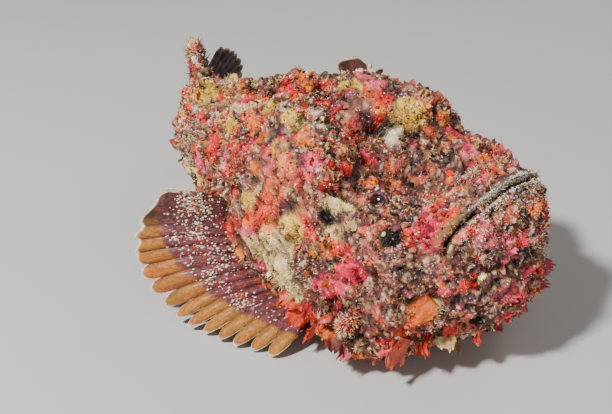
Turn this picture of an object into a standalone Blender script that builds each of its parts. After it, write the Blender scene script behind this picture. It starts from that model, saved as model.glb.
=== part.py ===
"""A reef stonefish at life size, resting on the sea bed with its tail curled to its left.

Units are metres, +Z is up, the fish faces +X, its left side is +Y and the floor is z = 0.
The body is described straight, as sections along X, and its rear is then bent round the curl.
"""

import bisect
import math
import random

import bmesh
import bpy
from mathutils import Vector
from mathutils.bvhtree import BVHTree

# Driving dimensions
SNOUT_X = 0.134
TAIL_ROOT_X = -0.170
NECK_X = 0.008
TRUNK_END_X = -0.098
GAP = 0.0003
FLOOR = 0.0

# Sections of the straight body: place along X, height of the back, height of the belly, half width
PROFILE = (
    (-0.170, 0.082, 0.046, 0.009),
    (-0.146, 0.087, 0.038, 0.015),
    (-0.116, 0.096, 0.024, 0.029),
    (-0.076, 0.110, 0.009, 0.052),
    (-0.036, 0.121, -0.002, 0.070),
    (0.002, 0.126, -0.004, 0.077),
    (0.028, 0.118, -0.004, 0.079),
    (0.052, 0.099, -0.003, 0.078),
    (0.078, 0.104, 0.003, 0.071),
    (0.102, 0.120, 0.010, 0.055),
    (0.134, 0.121, 0.022, 0.046),
)
WIDEST_SHARE = 0.42
BACK_SQUARENESS = 2.75
BELLY_SQUARENESS = 2.9
FACE_START_X = 0.078
FACE_Z = 0.062
FACE_ROUNDNESS = 2.0
LEAN = 0.42
LEAN_CENTRE_X = 0.0
LEAN_SPREAD_X = 0.050
LEAN_Z = 0.060

# The curl of the tail, along the spine behind BEND_START_X
BEND_START_X = -0.112
BEND_LENGTH = 0.076
BEND_TURN = math.radians(76)
BEND_STEPS = 60

TURNS = 36
BODY_STEP = 0.0074
FACE_RINGS = 10

# Swellings and hollows: place on the left half, radius, height out of the skin
FEATURES = (
    ((0.055, 0.036, 0.097), 0.012, 0.0040),
    ((0.060, 0.000, 0.104), 0.017, -0.0070),
    ((0.022, 0.000, 0.120), 0.015, -0.0130),
    ((0.016, 0.052, 0.108), 0.021, 0.0130),
    ((-0.012, 0.034, 0.122), 0.026, 0.0060),
    ((0.060, 0.064, 0.092), 0.019, 0.0130),
    ((0.070, 0.074, 0.070), 0.011, -0.0100),
    ((0.080, 0.068, 0.046), 0.022, 0.0050),
    ((0.104, 0.022, 0.114), 0.014, 0.0030),
    ((0.028, 0.078, 0.058), 0.022, 0.0050),
    ((-0.010, 0.072, 0.088), 0.014, -0.0070),
    ((-0.036, 0.068, 0.056), 0.020, 0.0050),
    ((0.129, 0.022, 0.048), 0.016, 0.0030),
    ((0.114, 0.026, 0.094), 0.012, 0.0040),
    ((0.120, 0.022, 0.076), 0.012, -0.0030),
    ((0.040, 0.058, 0.102), 0.016, 0.0070),
    ((0.096, 0.048, 0.100), 0.013, -0.0040),
)

# The mouth, an arch seen from ahead and above: its heights are those at MOUTH_X, and the cleft
# that it opens rises forwards by MOUTH_RISE
MOUTH_X = 0.110
MOUTH_RISE = math.tan(math.radians(38))
MOUTH_HALF = 0.045
MOUTH_CORNER_Z = 0.0955
MOUTH_TOP_Z = 0.1130
MOUTH_SQUARENESS = 4
MOUTH_STEPS = 18
JAW_BACK_X = 0.092
JAW_FOOT_HALF = 0.040
JAW_FOOT_DEPTH = 0.050
AHEAD_OF_SNOUT_X = 0.200
LIP_RADIUS = 0.0028
LIP_SIDES = 7
LIP_STEPS = 16
LIP_SPAN = 0.97
LIP_END = 0.45
LIP_SINK = 0.0002

EYE_RADIUS = 0.0062
EYE_X = 0.057
EYE_TURN = 68
EYE_SIDES = 12
EYE_RINGS = 8
EYE_SINK = 0.0018
LID_RADIUS = 0.0020
LID_OUT = 0.0022

# Nostrils, two low rims on the snout: place along X, turn from the left side in degrees
NOSTRIL_X = 0.086
NOSTRIL_TURN = 74
NOSTRIL_RADIUS = 0.0026
NOSTRIL_RIM = 0.0011

# Warts: how many each node carries, the range of their radii, and their height as a share of it
WARTS = {"head": 43, "trunk": 29, "tail": 10, "jaw": 6}
WART_RADIUS = (0.0034, 0.0068)
WART_HEIGHT = (0.45, 0.80)
WART_SIDES = 5
WART_CLEAR = 0.0060

# Skin flaps of the lower edge on each side, the chin and the brow: node, place along X, turn in
# degrees for the left side, length, width, number of points, and how far the flap hangs down
FLAPS = (
    ("head", 0.030, -20, 0.016, 0.016, 3, 0.50),
    ("head", 0.041, -26, 0.014, 0.013, 2, 0.60),
    ("head", 0.052, -37, 0.020, 0.020, 3, 0.55),
    ("head", 0.061, -24, 0.013, 0.012, 2, 0.70),
    ("head", 0.071, -38, 0.019, 0.018, 3, 0.60),
    ("head", 0.081, -16, 0.015, 0.016, 3, 0.80),
    ("head", 0.084, -34, 0.020, 0.012, 2, 0.90),
    ("head", 0.080, -58, 0.016, 0.013, 2, 0.60),
    ("head", 0.022, 56, 0.009, 0.007, 2, -0.70),
    ("trunk", -0.014, 60, 0.009, 0.008, 2, -0.70),
    ("trunk", -0.060, 40, 0.009, 0.010, 2, -0.20),
    ("tail", -0.118, 30, 0.008, 0.009, 2, 0.10),
)
CHIN_FLAPS = (
    (0.120, -6, 0.010),
    (0.125, -36, 0.012),
    (0.120, -62, 0.012),
    (0.114, -54, 0.018),
    (0.107, -78, 0.016),
)
CHIN_FLAP_WIDTH = 0.8
FLAP_THICKNESS = 0.0022
FLAP_LOW = 0.0020

SEED = 7

SKIN = "encrusted skin"
COLOURS = {
    "head": (0.46, 0.15, 0.12),
    "jaw": (0.40, 0.20, 0.18),
    "trunk": (0.50, 0.17, 0.12),
    "tail": (0.48, 0.30, 0.20),
    "fin": (0.30, 0.13, 0.10),
    "eye": (0.16, 0.10, 0.04),
}


def through(points, column, x):
    """The value at x of a smooth curve through one column of a table whose first column is x."""
    xs = [row[0] for row in points]
    ys = [row[column] for row in points]
    i = max(0, min(len(xs) - 2, bisect.bisect_right(xs, x) - 1))

    def slope(k):
        low, high = max(0, k - 1), min(len(xs) - 1, k + 1)
        return (ys[high] - ys[low]) / (xs[high] - xs[low])

    step = xs[i + 1] - xs[i]
    t = max(0.0, min(1.0, (x - xs[i]) / step))
    rise = t * t * (3 - 2 * t)
    return (
        ys[i] * (1 - rise)
        + ys[i + 1] * rise
        + slope(i) * step * t * (1 - t) ** 2
        - slope(i + 1) * step * t * t * (1 - t)
    )


def power(value, exponent):
    """value to the exponent, keeping its sign."""
    return math.copysign(abs(value) ** exponent, value)


def face_share(x):
    """How much of the full section is left at x, from 1 behind the face to 0 at the snout."""
    t = max(0.0, min(1.0, (x - FACE_START_X) / (SNOUT_X - FACE_START_X)))
    return (1 - t**FACE_ROUNDNESS) ** (1 / FACE_ROUNDNESS)


def section(x, turn):
    """A point of the straight body: turn is 0 at the left side, a quarter circle at the back."""
    back, belly, half = (through(PROFILE, column, x) for column in (1, 2, 3))
    middle = belly + (back - belly) * WIDEST_SHARE
    c, s = math.cos(turn), math.sin(turn)
    if s > 0:
        squareness, rise = BACK_SQUARENESS, back - middle
    else:
        squareness, rise = BELLY_SQUARENESS, middle - belly
    share = face_share(x)
    y = half * power(c, 2 / squareness) * share
    z = FACE_Z + (middle + rise * power(s, 2 / squareness) - FACE_Z) * share
    lean = LEAN * math.exp(-(((x - LEAN_CENTRE_X) / LEAN_SPREAD_X) ** 2))
    return Vector((x - lean * (z - LEAN_Z), y, z))


def straight_skin(x, turn):
    """Point and outward normal of the straight skin, with its swellings and hollows."""
    step = 1e-4
    point = section(x, turn)
    if face_share(x) < 1e-6:
        return point, Vector((1, 0, 0))
    inward = -step if x + step > SNOUT_X else step
    along = (section(x + inward, turn) - point) / inward
    around = section(x, turn + step) - point
    normal = around.cross(along).normalized()
    out = 0.0
    for (fx, fy, fz), radius, height in FEATURES:
        for side in {fy, -fy}:
            away = (point - Vector((fx, side, fz))).length / radius
            out += height * math.exp(-away * away)
    return point + normal * out, normal


def curl_stations():
    """Places and headings of the spine behind the bend's start, summed in short steps."""
    stations = []
    x, y = BEND_START_X, 0.0
    step = BEND_LENGTH / BEND_STEPS
    for i in range(BEND_STEPS + 1):
        t = i / BEND_STEPS
        heading = BEND_TURN * t * t * (3 - 2 * t)
        stations.append((x, y, heading))
        x -= step * math.cos(heading)
        y += step * math.sin(heading)
    return stations


CURL = curl_stations()


def posed(point, normal=None):
    """The point, and a direction at it, carried from the straight fish to the curled one."""
    back = BEND_START_X - point.x
    if back <= 0:
        return (point.copy(), normal) if normal else point.copy()
    place = min(back / BEND_LENGTH * BEND_STEPS, BEND_STEPS - 1e-6)
    i, t = int(place), place - int(place)
    (x0, y0, h0), (x1, y1, h1) = CURL[i], CURL[i + 1]
    heading = h0 + (h1 - h0) * t
    beyond = max(0.0, back - BEND_LENGTH)
    c, s = math.cos(heading), math.sin(heading)
    x = x0 + (x1 - x0) * t + point.y * s - beyond * c
    y = y0 + (y1 - y0) * t + point.y * c + beyond * s
    moved = Vector((x, y, point.z))
    if normal is None:
        return moved
    turned = Vector((normal.x * c + normal.y * s, normal.y * c - normal.x * s, normal.z))
    return moved, turned


def skin(x, turn_degrees):
    """Point and normal of the posed skin, no lower than the floor."""
    point, normal = posed(*straight_skin(x, math.radians(turn_degrees)))
    point.z = max(point.z, FLOOR)
    return point, normal


def object_from(name, points, faces):
    """A mesh object with its faces turned outwards."""
    mesh = bpy.data.meshes.new(name)
    mesh.from_pydata([tuple(p) for p in points], [], faces)
    made = bmesh.new()
    made.from_mesh(mesh)
    bmesh.ops.recalc_face_normals(made, faces=made.faces)
    made.to_mesh(mesh)
    made.free()
    obj = bpy.data.objects.new(name, mesh)
    bpy.context.scene.collection.objects.link(obj)
    return obj


def body_stations(start, end):
    """Places along X of the rings from start to end, closer together on the face."""
    last = min(end, FACE_START_X)
    count = max(2, round((last - start) / BODY_STEP))
    stations = [start + (last - start) * i / count for i in range(count + 1)]
    if end > FACE_START_X:
        depth = SNOUT_X - FACE_START_X
        stations += [
            FACE_START_X + depth * math.sin(math.pi / 2 * i / FACE_RINGS)
            for i in range(1, FACE_RINGS + 1)
        ]
    return stations


def body_length(name, start, end, swell=0.0):
    """A length of the body as a closed loft, with flat ends or the snout's rounded one."""
    points, faces = [], []
    stations = body_stations(start, end)
    closed_nose = stations[-1] >= SNOUT_X - 1e-9
    if closed_nose:
        stations.pop()
    for x in stations:
        for k in range(TURNS):
            point, normal = skin(x, 360 * k / TURNS)
            points.append(point + normal * swell)
    rings = len(stations)
    for i in range(rings - 1):
        for k in range(TURNS):
            a, b = i * TURNS + k, i * TURNS + (k + 1) % TURNS
            faces.append((a, b, b + TURNS, a + TURNS))
    ends = [(0, sum(points[:TURNS], Vector()) / TURNS)]
    nose = skin(SNOUT_X, 0)[0] + Vector((swell, 0, 0))
    last = (rings - 1) * TURNS
    ends.append((last, nose if closed_nose else sum(points[last:], Vector()) / TURNS))
    for first, centre in ends:
        points.append(centre)
        for k in range(TURNS):
            faces.append((first + k, first + (k + 1) % TURNS, len(points) - 1))
    return object_from(name, points, faces)


def prism(name, outline, start, end):
    """A closed prism from start to end along X, its outline a list of (y, z) that rises forwards."""
    count = len(outline)
    points = []
    for x in (start, end):
        points += [Vector((x, y, z + (x - MOUTH_X) * MOUTH_RISE)) for y, z in outline]
    faces = [(k, (k + 1) % count, (k + 1) % count + count, k + count) for k in range(count)]
    faces += [tuple(range(count)), tuple(range(count, 2 * count))]
    return object_from(name, points, faces)


def evaluated_mesh(obj):
    """The object's mesh with its modifiers applied."""
    graph = bpy.context.evaluated_depsgraph_get()
    return bpy.data.meshes.new_from_object(obj.evaluated_get(graph))


def keep_largest(mesh):
    """Drops every surface of the mesh but the one with most faces."""
    made = bmesh.new()
    made.from_mesh(mesh)
    waiting, shells = set(made.faces), []
    while waiting:
        shell, front = set(), [waiting.pop()]
        while front:
            face = front.pop()
            shell.add(face)
            for edge in face.edges:
                for other in edge.link_faces:
                    if other in waiting:
                        waiting.remove(other)
                        front.append(other)
        shells.append(shell)
    largest = max(shells, key=len)
    loose = [face for face in made.faces if face not in largest]
    bmesh.ops.delete(made, geom=loose, context="FACES")
    made.to_mesh(mesh)
    made.free()


def remove(obj):
    """Deletes an object and its mesh."""
    mesh = obj.data
    bpy.data.objects.remove(obj)
    bpy.data.meshes.remove(mesh)


def combined(obj, others, operation, solver="EXACT"):
    """Applies one Boolean of the other objects to obj, then removes them."""
    group = bpy.data.collections.new("operands")
    for other in others:
        group.objects.link(other)
    modifier = obj.modifiers.new(operation.lower(), "BOOLEAN")
    modifier.operation = operation
    modifier.solver = solver
    modifier.operand_type = "COLLECTION"
    modifier.collection = group
    bpy.context.view_layer.update()
    mesh = evaluated_mesh(obj)
    obj.modifiers.clear()
    old, obj.data = obj.data, mesh
    bpy.data.meshes.remove(old)
    mesh.name = obj.name
    keep_largest(mesh)
    bpy.data.collections.remove(group)
    for other in others:
        remove(other)
    return obj


def copy_of(obj, name):
    """A second object with its own mesh."""
    twin = bpy.data.objects.new(name, obj.data.copy())
    bpy.context.scene.collection.objects.link(twin)
    return twin


def from_ahead(point):
    """A point as (y, z) at MOUTH_X, looking along the cleft of the mouth."""
    return point.y, point.z - (point.x - MOUTH_X) * MOUTH_RISE


def mouth_z(y):
    """Height of the mouth line at y, looking along the cleft."""
    share = min(1.0, abs(y) / MOUTH_HALF)
    return MOUTH_TOP_Z - (MOUTH_TOP_Z - MOUTH_CORNER_Z) * share**MOUTH_SQUARENESS


def jaw_outline(grow):
    """The lower jaw's outline along the cleft, grown outwards by a small amount."""
    outline = []
    for i in range(MOUTH_STEPS + 1):
        share = 2 * i / MOUTH_STEPS - 1
        y = MOUTH_HALF * share
        outline.append((y + grow * share, mouth_z(y) + grow * math.hypot(1, MOUTH_RISE)))
    foot = FLOOR - JAW_FOOT_DEPTH
    outline += [(JAW_FOOT_HALF + grow, foot), (-JAW_FOOT_HALF - grow, foot)]
    return outline


def surface_finder(obj):
    """A search tree of the object's faces in world space."""
    return BVHTree.FromObject(obj, bpy.context.evaluated_depsgraph_get())


def tube(name, path, radius, sides):
    """A closed tube along a path of points, thinner at its two ends."""
    points, faces = [], []
    count = len(path)
    for i, centre in enumerate(path):
        ahead = path[min(i + 1, count - 1)] - path[max(i - 1, 0)]
        across = ahead.cross(Vector((1, 0, 0))).normalized()
        out = across.cross(ahead).normalized()
        share = LIP_END if i in (0, count - 1) else 1.0
        for k in range(sides):
            turn = 2 * math.pi * k / sides
            offset = across * math.cos(turn) + out * math.sin(turn)
            points.append(centre + offset * radius * share)
    for i in range(count - 1):
        for k in range(sides):
            a, b = i * sides + k, i * sides + (k + 1) % sides
            faces.append((a, b, b + sides, a + sides))
    faces += [tuple(range(sides)), tuple(range((count - 1) * sides, count * sides))]
    return object_from(name, points, faces)


def lip(name, finder, offset):
    """A lip along the mouth line, this far outside it or, if negative, inside it."""
    path = []
    for i in range(LIP_STEPS + 1):
        share = 2 * i / LIP_STEPS - 1
        y = MOUTH_HALF * share * LIP_SPAN
        steepness = MOUTH_SQUARENESS * power(share, MOUTH_SQUARENESS - 1)
        slope = -steepness * (MOUTH_TOP_Z - MOUTH_CORNER_Z) / MOUTH_HALF
        aside = Vector((0, -slope, 1))
        wall = Vector((-MOUTH_RISE, -slope, 1))
        rise = (AHEAD_OF_SNOUT_X - MOUTH_X) * MOUTH_RISE
        start = Vector((AHEAD_OF_SNOUT_X, y, mouth_z(y) + rise))
        start += aside * offset * wall.length / aside.length_squared
        inward = Vector((-1, 0, -MOUTH_RISE)).normalized()
        hit = finder.ray_cast(start, inward)[0]
        path.append(hit + inward * LIP_SINK)
    return tube(name, path, LIP_RADIUS, LIP_SIDES)


def ring(name, centre, axis, radius, thickness, segments=12, sides=6):
    """A closed ring round an axis, such as an eyelid."""
    across = axis.orthogonal().normalized()
    up = axis.cross(across).normalized()
    points, faces = [], []
    for i in range(segments):
        turn = 2 * math.pi * i / segments
        out = across * math.cos(turn) + up * math.sin(turn)
        for k in range(sides):
            roll = 2 * math.pi * k / sides
            offset = out * math.cos(roll) + axis * math.sin(roll)
            points.append(centre + out * radius + offset * thickness)
    for i in range(segments):
        for k in range(sides):
            j, m = (i + 1) % segments, (k + 1) % sides
            faces.append((i * sides + k, i * sides + m, j * sides + m, j * sides + k))
    return object_from(name, points, faces)


def ball(name, centre, radius, segments, rings):
    """A closed sphere."""
    made = bmesh.new()
    bmesh.ops.create_uvsphere(made, u_segments=segments, v_segments=rings, radius=radius)
    bmesh.ops.translate(made, verts=made.verts, vec=centre)
    mesh = bpy.data.meshes.new(name)
    made.to_mesh(mesh)
    made.free()
    obj = bpy.data.objects.new(name, mesh)
    bpy.context.scene.collection.objects.link(obj)
    return obj


def eye_place(side):
    """Centre of the eye on that side, and the way it looks."""
    turn = EYE_TURN if side > 0 else 180 - EYE_TURN
    point, normal = skin(EYE_X, turn)
    return point - normal * EYE_SINK, normal


# Columns of a ray across the fin: share of the ray's width, and share of the full ridge
RAY_COLUMNS = ((0.0, 0.0), (0.34, 1.0), (0.66, 1.0))
FIN_LEAST = 0.0006
FIN_TAPER = 0.62


def fan(name, root, tip, rays, rows, membrane, ridge, notch, bulge=None, curled=False):
    """A fin as one closed mesh: thick rays from root(v) to tip(v), with a thinner web between.

    membrane and ridge are thicknesses at the root. notch(v) is the share of the length that
    the web falls short of the ray tips, and bulge(u, v) moves the middle surface. A curled
    fin is described on the straight fish and follows the curl of the tail.
    """
    place = posed if curled else Vector.copy
    columns = [((k + share) / rays, high) for k in range(rays) for share, high in RAY_COLUMNS]
    columns.append((1.0, 0.0))

    def middle(u, v):
        point = root(v).lerp(tip(v), u)
        return point + bulge(u, v) if bulge else point

    upper, lower = [], []
    for j in range(rows + 1):
        for v, high in columns:
            reach = 1 - notch(v) * (1 - high)
            u = reach * j / rows
            point = middle(u, v)
            step = 1e-3
            along = middle(u + step, v) - middle(u - step, v)
            across = middle(u, min(1, v + step)) - middle(u, max(0, v - step))
            normal = along.cross(across).normalized()
            taper = 1 - FIN_TAPER * (j / rows) ** 1.5
            half = (membrane + ridge * high) * taper / 2
            upper.append(place(point + normal * half))
            lower.append(place(point - normal * half))
    for low in lower + upper:
        low.z = max(low.z, FLOOR)
    for high, low in zip(upper, lower):
        if (high - low).length < FIN_LEAST:
            high.z = low.z + FIN_LEAST
    count = len(columns)
    points = upper + lower
    shift = len(upper)
    faces = []
    for j in range(rows):
        for i in range(count - 1):
            a, b = j * count + i, j * count + i + 1
            c, d = b + count, a + count
            faces += [(a, b, c), (a, c, d)]
            faces += [(shift + a, shift + c, shift + b), (shift + a, shift + d, shift + c)]
    border = [j * count for j in range(rows + 1)]
    border += [rows * count + i for i in range(1, count)]
    border += [(rows - j) * count + count - 1 for j in range(1, rows + 1)]
    border += [count - 1 - i for i in range(1, count - 1)]
    for i, a in enumerate(border):
        b = border[(i + 1) % len(border)]
        faces += [(a, b, shift + b), (a, shift + b, shift + a)]
    return object_from(name, points, faces)


def between(points, v):
    """The point at share v of a smooth line through (share, x, y, z) rows."""
    return Vector([through(points, column, v) for column in (1, 2, 3)])


# Pectoral fin of the left side, from its upper ray to its lowest: share, x, y, z
PECTORAL_ROOT = (
    (0.00, -0.042, 0.060, 0.070),
    (0.35, -0.030, 0.062, 0.044),
    (0.70, -0.006, 0.058, 0.020),
    (1.00, 0.030, 0.052, 0.010),
)
PECTORAL_TIP = (
    (0.00, -0.064, 0.098, 0.088),
    (0.20, -0.080, 0.108, 0.064),
    (0.40, -0.078, 0.114, 0.034),
    (0.60, -0.050, 0.112, 0.008),
    (0.80, -0.014, 0.106, 0.003),
    (1.00, 0.024, 0.094, 0.002),
)
# The same fin of the left side, which the fish holds a little higher
PECTORAL_TIP_LEFT = (
    (0.00, -0.054, 0.084, 0.113),
    (0.20, -0.080, 0.100, 0.090),
    (0.40, -0.084, 0.112, 0.050),
    (0.60, -0.054, 0.112, 0.012),
    (0.80, -0.014, 0.106, 0.003),
    (1.00, 0.024, 0.094, 0.002),
)
PECTORAL_RAYS = 17


def pectoral_notch(v):
    """The lower rays of the pectoral fin are free at their ends, like fingers."""
    return 0.05 + 0.30 * max(0.0, min(1.0, (v - 0.35) / 0.35))


def pectoral(name, side):
    """The great fan behind the head on one side, its lower rays lying on the floor."""
    mirror = Vector((1, side, 1))
    tips = PECTORAL_TIP_LEFT if side > 0 else PECTORAL_TIP

    def bulge(u, v):
        arch = math.sin(math.pi * u)
        return Vector((0.0, side * 0.006, 0.006)) * arch

    return fan(
        name,
        lambda v: between(PECTORAL_ROOT, v) * mirror,
        lambda v: between(tips, v) * mirror,
        PECTORAL_RAYS,
        rows=5,
        membrane=0.0024,
        ridge=0.0040,
        notch=pectoral_notch,
        bulge=bulge,
    )


def pelvic(name, side):
    """The smaller fan under the breast, flat on the floor."""
    root = ((0.0, 0.012, 0.030, 0.006), (1.0, 0.046, 0.034, 0.006))
    tip = ((0.0, -0.036, 0.054, 0.0035), (0.5, -0.016, 0.068, 0.003), (1.0, 0.022, 0.066, 0.003))
    mirror = Vector((1, side, 1))
    return fan(
        name,
        lambda v: between(root, v) * mirror,
        lambda v: between(tip, v) * mirror,
        6,
        rows=5,
        membrane=0.0024,
        ridge=0.0030,
        notch=lambda v: 0.10,
    )


DORSAL_FRONT_X = 0.000
DORSAL_REAR_X = -0.156
DORSAL_SPINES = 13
DORSAL_SOFT = 6
DORSAL_HEIGHT = 0.012
LOBE_START = 0.74
LOBE_FULL = 0.85
LOBE_HEIGHT = 0.030


def dorsal():
    """Thirteen sheathed spines and six soft rays, the last of them raised in a lobe."""
    rays = DORSAL_SPINES + DORSAL_SOFT
    spine_share = DORSAL_SPINES / rays

    def base_x(v):
        return DORSAL_FRONT_X + (DORSAL_REAR_X - DORSAL_FRONT_X) * v

    def root(v):
        point = straight_skin(base_x(v), math.pi / 2)[0]
        return point - Vector((0, 0, 0.005))

    def tip(v):
        soft = max(0.0, min(1.0, (v - spine_share) * 8))
        height = DORSAL_HEIGHT * (0.86 + 0.14 * math.cos(v * 9)) * (1 - 0.15 * soft)
        t = max(0.0, min(1.0, (v - LOBE_START) / (LOBE_FULL - LOBE_START)))
        lobe = LOBE_HEIGHT * t * t * (3 - 2 * t)
        return root(v) + Vector((-0.55 * height - 0.08 * lobe, 0, height + lobe + 0.005))

    return fan(
        "dorsal_fin",
        root,
        tip,
        rays,
        rows=3,
        membrane=0.0034,
        ridge=0.0036,
        notch=lambda v: 0.34 if v < spine_share else 0.10,
        curled=True,
    )


def anal():
    """Three short spines and five soft rays under the tail, folded back clear of the floor."""

    def root(v):
        point = straight_skin(-0.100 - 0.044 * v, -math.pi / 2)[0]
        return point + Vector((0, 0, 0.004))

    def tip(v):
        drop = 0.006 + 0.008 * math.sin(math.pi * (0.25 + 0.6 * v))
        low = max(0.0022, root(v).z - 0.004 - drop)
        return Vector((root(v).x - 0.016, 0, low))

    return fan(
        "anal_fin",
        root,
        tip,
        8,
        rows=4,
        membrane=0.0020,
        ridge=0.0026,
        notch=lambda v: 0.16,
        curled=True,
    )


CAUDAL_RAYS = 13
CAUDAL_LENGTH = 0.062
CAUDAL_MIDDLE_Z = 0.063


def caudal():
    """The rounded tail fin, which follows the curl of the tail."""

    def root(v):
        return Vector((TAIL_ROOT_X + 0.004, 0, CAUDAL_MIDDLE_Z + 0.030 * (0.5 - v)))

    def tip(v):
        turn = math.pi * (0.5 - v) * 0.62
        reach = CAUDAL_LENGTH * (0.90 + 0.10 * math.cos(2 * turn))
        x = TAIL_ROOT_X - reach * math.cos(turn * 0.75)
        return Vector((x, 0, CAUDAL_MIDDLE_Z + 0.042 * math.sin(turn) / math.sin(0.31 * math.pi)))

    return fan(
        "caudal_fin",
        root,
        tip,
        CAUDAL_RAYS,
        rows=4,
        membrane=0.0020,
        ridge=0.0030,
        notch=lambda v: 0.06,
        curled=True,
    )


def nearest_on_outline(y, z, outline):
    """Distance from a point to a closed outline, both (y, z) seen along the cleft."""
    best = 1.0
    for i, (y1, z1) in enumerate(outline):
        y0, z0 = outline[i - 1]
        run, rise = y1 - y0, z1 - z0
        along = ((y - y0) * run + (z - z0) * rise) / max(1e-12, run * run + rise * rise)
        along = max(0.0, min(1.0, along))
        best = min(best, math.hypot(y - y0 - run * along, z - z0 - rise * along))
    return best


def in_jaw(y, z):
    """Whether a point seen along the cleft lies on the lower jaw."""
    share = min(1.0, max(0.0, z / MOUTH_CORNER_Z))
    half = JAW_FOOT_HALF + (MOUTH_HALF - JAW_FOOT_HALF) * share
    return abs(y) < half and z < mouth_z(y)


def wart_room(node, point, radius):
    """Whether a wart at this place keeps clear of the mouth, eyes, fins, seams and floor."""
    clear = radius + WART_CLEAR
    if point.z < radius + 0.012:
        return False
    y, z = from_ahead(point)
    if point.x > JAW_BACK_X - clear and nearest_on_outline(y, z, jaw_outline(0)) < clear:
        return False
    if node == "jaw" and not in_jaw(y, z):
        return False
    if node == "head" and point.x > JAW_BACK_X and in_jaw(y, z):
        return False
    for side in (1, -1):
        if (point - eye_place(side)[0]).length < clear + EYE_RADIUS:
            return False
        if (point - skin(NOSTRIL_X, nostril_turn(side))[0]).length < clear:
            return False
        for share in range(11):
            root = between(PECTORAL_ROOT, share / 10) * Vector((1, side, 1))
            if (point - root).length < clear + 0.008:
                return False
    return True


def warts(node, start, end, rng):
    """Low-sided domes spread over the skin of one node, none touching another."""
    made, taken = [], []
    edge = WART_RADIUS[1] + 0.002
    while len(made) < WARTS[node]:
        radius = rng.uniform(*WART_RADIUS)
        x = rng.uniform(start + edge, end - edge)
        turn = rng.uniform(-40, 220)
        spin = rng.uniform(0, 2 * math.pi)
        height = radius * rng.uniform(*WART_HEIGHT)
        if x < DORSAL_FRONT_X + edge and abs(turn - 90) < 16 + 260 * max(0.0, -x - 0.06):
            continue
        point, normal = skin(x, turn)
        if not wart_room(node, point, radius):
            continue
        if any((point - other).length < radius + reach + 0.0012 for other, reach in taken):
            continue
        taken.append((point, radius))
        made.append(bulb(point, normal, radius, height, spin))
    return made


def bulb(place, normal, radius, height, spin):
    """A wart: a dome whose root is sunk well into the skin."""
    across = normal.orthogonal().normalized()
    up = normal.cross(across)
    points, faces = [], []
    sides = WART_SIDES
    for share, level in ((0.8, -0.5 * radius - 0.001), (1.0, 0.1 * height), (0.55, 0.8 * height)):
        for k in range(sides):
            turn = spin + 2 * math.pi * k / sides
            offset = across * math.cos(turn) + up * math.sin(turn)
            points.append(place + offset * radius * share + normal * level)
    for i in range(2):
        for k in range(sides):
            a, b = i * sides + k, i * sides + (k + 1) % sides
            faces.append((a, b, b + sides, a + sides))
    points.append(place + normal * height)
    top = len(points) - 1
    faces += [(2 * sides + k, 2 * sides + (k + 1) % sides, top) for k in range(sides)]
    faces.append(tuple(range(sides)))
    return object_from("wart", points, faces)


def flap(place, out, across, length, width, lobes, rng):
    """A ragged skin flap: a leaf with pointed lobes, its root sunk into the skin."""
    face = out.cross(across).normalized()
    rows = []
    for u, share in ((-0.45, 0.55), (0.15, 0.85), (0.60, 1.0)):
        rows.append([(u, share * (i / lobes - 0.5)) for i in range(lobes + 1)])
    rows.append([(rng.uniform(0.85, 1.05), (i + 0.5) / lobes - 0.5) for i in range(lobes)])
    upper, lower = [], []
    for row, thick in zip(rows, (1.0, 1.0, 0.8, 0.4)):
        for u, v in row:
            bend = 0.18 * length * max(0.0, u) ** 2
            middle = place + out * u * length + across * v * width + face * bend
            low = FLAP_LOW + FLAP_THICKNESS / 2
            if middle.z < low:
                middle += Vector((0, 0, low - middle.z))
            upper.append(middle + face * FLAP_THICKNESS * thick / 2)
            lower.append(middle - face * FLAP_THICKNESS * thick / 2)
    wide = lobes + 1
    sheet = []
    for j in range(2):
        for i in range(lobes):
            a, b = j * wide + i, j * wide + i + 1
            sheet += [(a, b, b + wide), (a, b + wide, a + wide)]
    sheet += [(2 * wide + i, 2 * wide + i + 1, 3 * wide + i) for i in range(lobes)]
    shift = len(upper)
    faces = sheet + [(shift + c, shift + b, shift + a) for a, b, c in sheet]
    border = [j * wide for j in range(2)]
    for i in range(lobes):
        border += [2 * wide + i, 3 * wide + i]
    border += [2 * wide + lobes, wide + lobes]
    border += [lobes - i for i in range(lobes)]
    for i, a in enumerate(border):
        b = border[(i + 1) % len(border)]
        faces += [(a, b, shift + b), (a, shift + b, shift + a)]
    return object_from("flap", upper + lower, faces)


def skin_flap(x, turn, length, width, lobes, hang, rng):
    """A flap on the skin that stands out sideways and hangs down, or up if hang is negative."""
    point, normal = skin(x, turn)
    out = (normal + Vector((0, 0, -hang))).normalized()
    across = Vector((1, 0, 0)) - out * out.x
    return flap(point, out, across.normalized(), length, width, lobes, rng)


def node_flaps(node, rng):
    """The flaps of one node, on both its sides, each drawn a little differently."""
    made = []
    for name, x, turn, length, width, lobes, hang in FLAPS:
        if name != node:
            continue
        for side_turn in (turn, 180 - turn):
            shift = rng.uniform(-0.002, 0.002)
            size = rng.uniform(0.85, 1.10)
            made.append(
                skin_flap(x + shift, side_turn, length * size, width * size, lobes, hang, rng)
            )
    return made


def chin_flaps(rng):
    """The fringe of the chin, five flaps on each side of the jaw."""
    made = []
    for x, turn, length in CHIN_FLAPS:
        for side_turn in (turn, 180 - turn):
            point, normal = skin(x, side_turn)
            across = normal.cross(Vector((0, 0, 1))).normalized()
            out = (normal + Vector((0, 0, -0.3))).normalized()
            width = length * CHIN_FLAP_WIDTH
            made.append(flap(point, out, across, length, width, 2, rng))
    return made


def nostril_turn(side):
    """The turn at which the nostril of one side lies."""
    return NOSTRIL_TURN if side > 0 else 180 - NOSTRIL_TURN


def nostrils():
    """The raised rim of each nostril."""
    made = []
    for side in (1, -1):
        point, normal = skin(NOSTRIL_X, nostril_turn(side))
        made.append(ring("nostril", point, normal, NOSTRIL_RADIUS, NOSTRIL_RIM, 8, 5))
    return made


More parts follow.
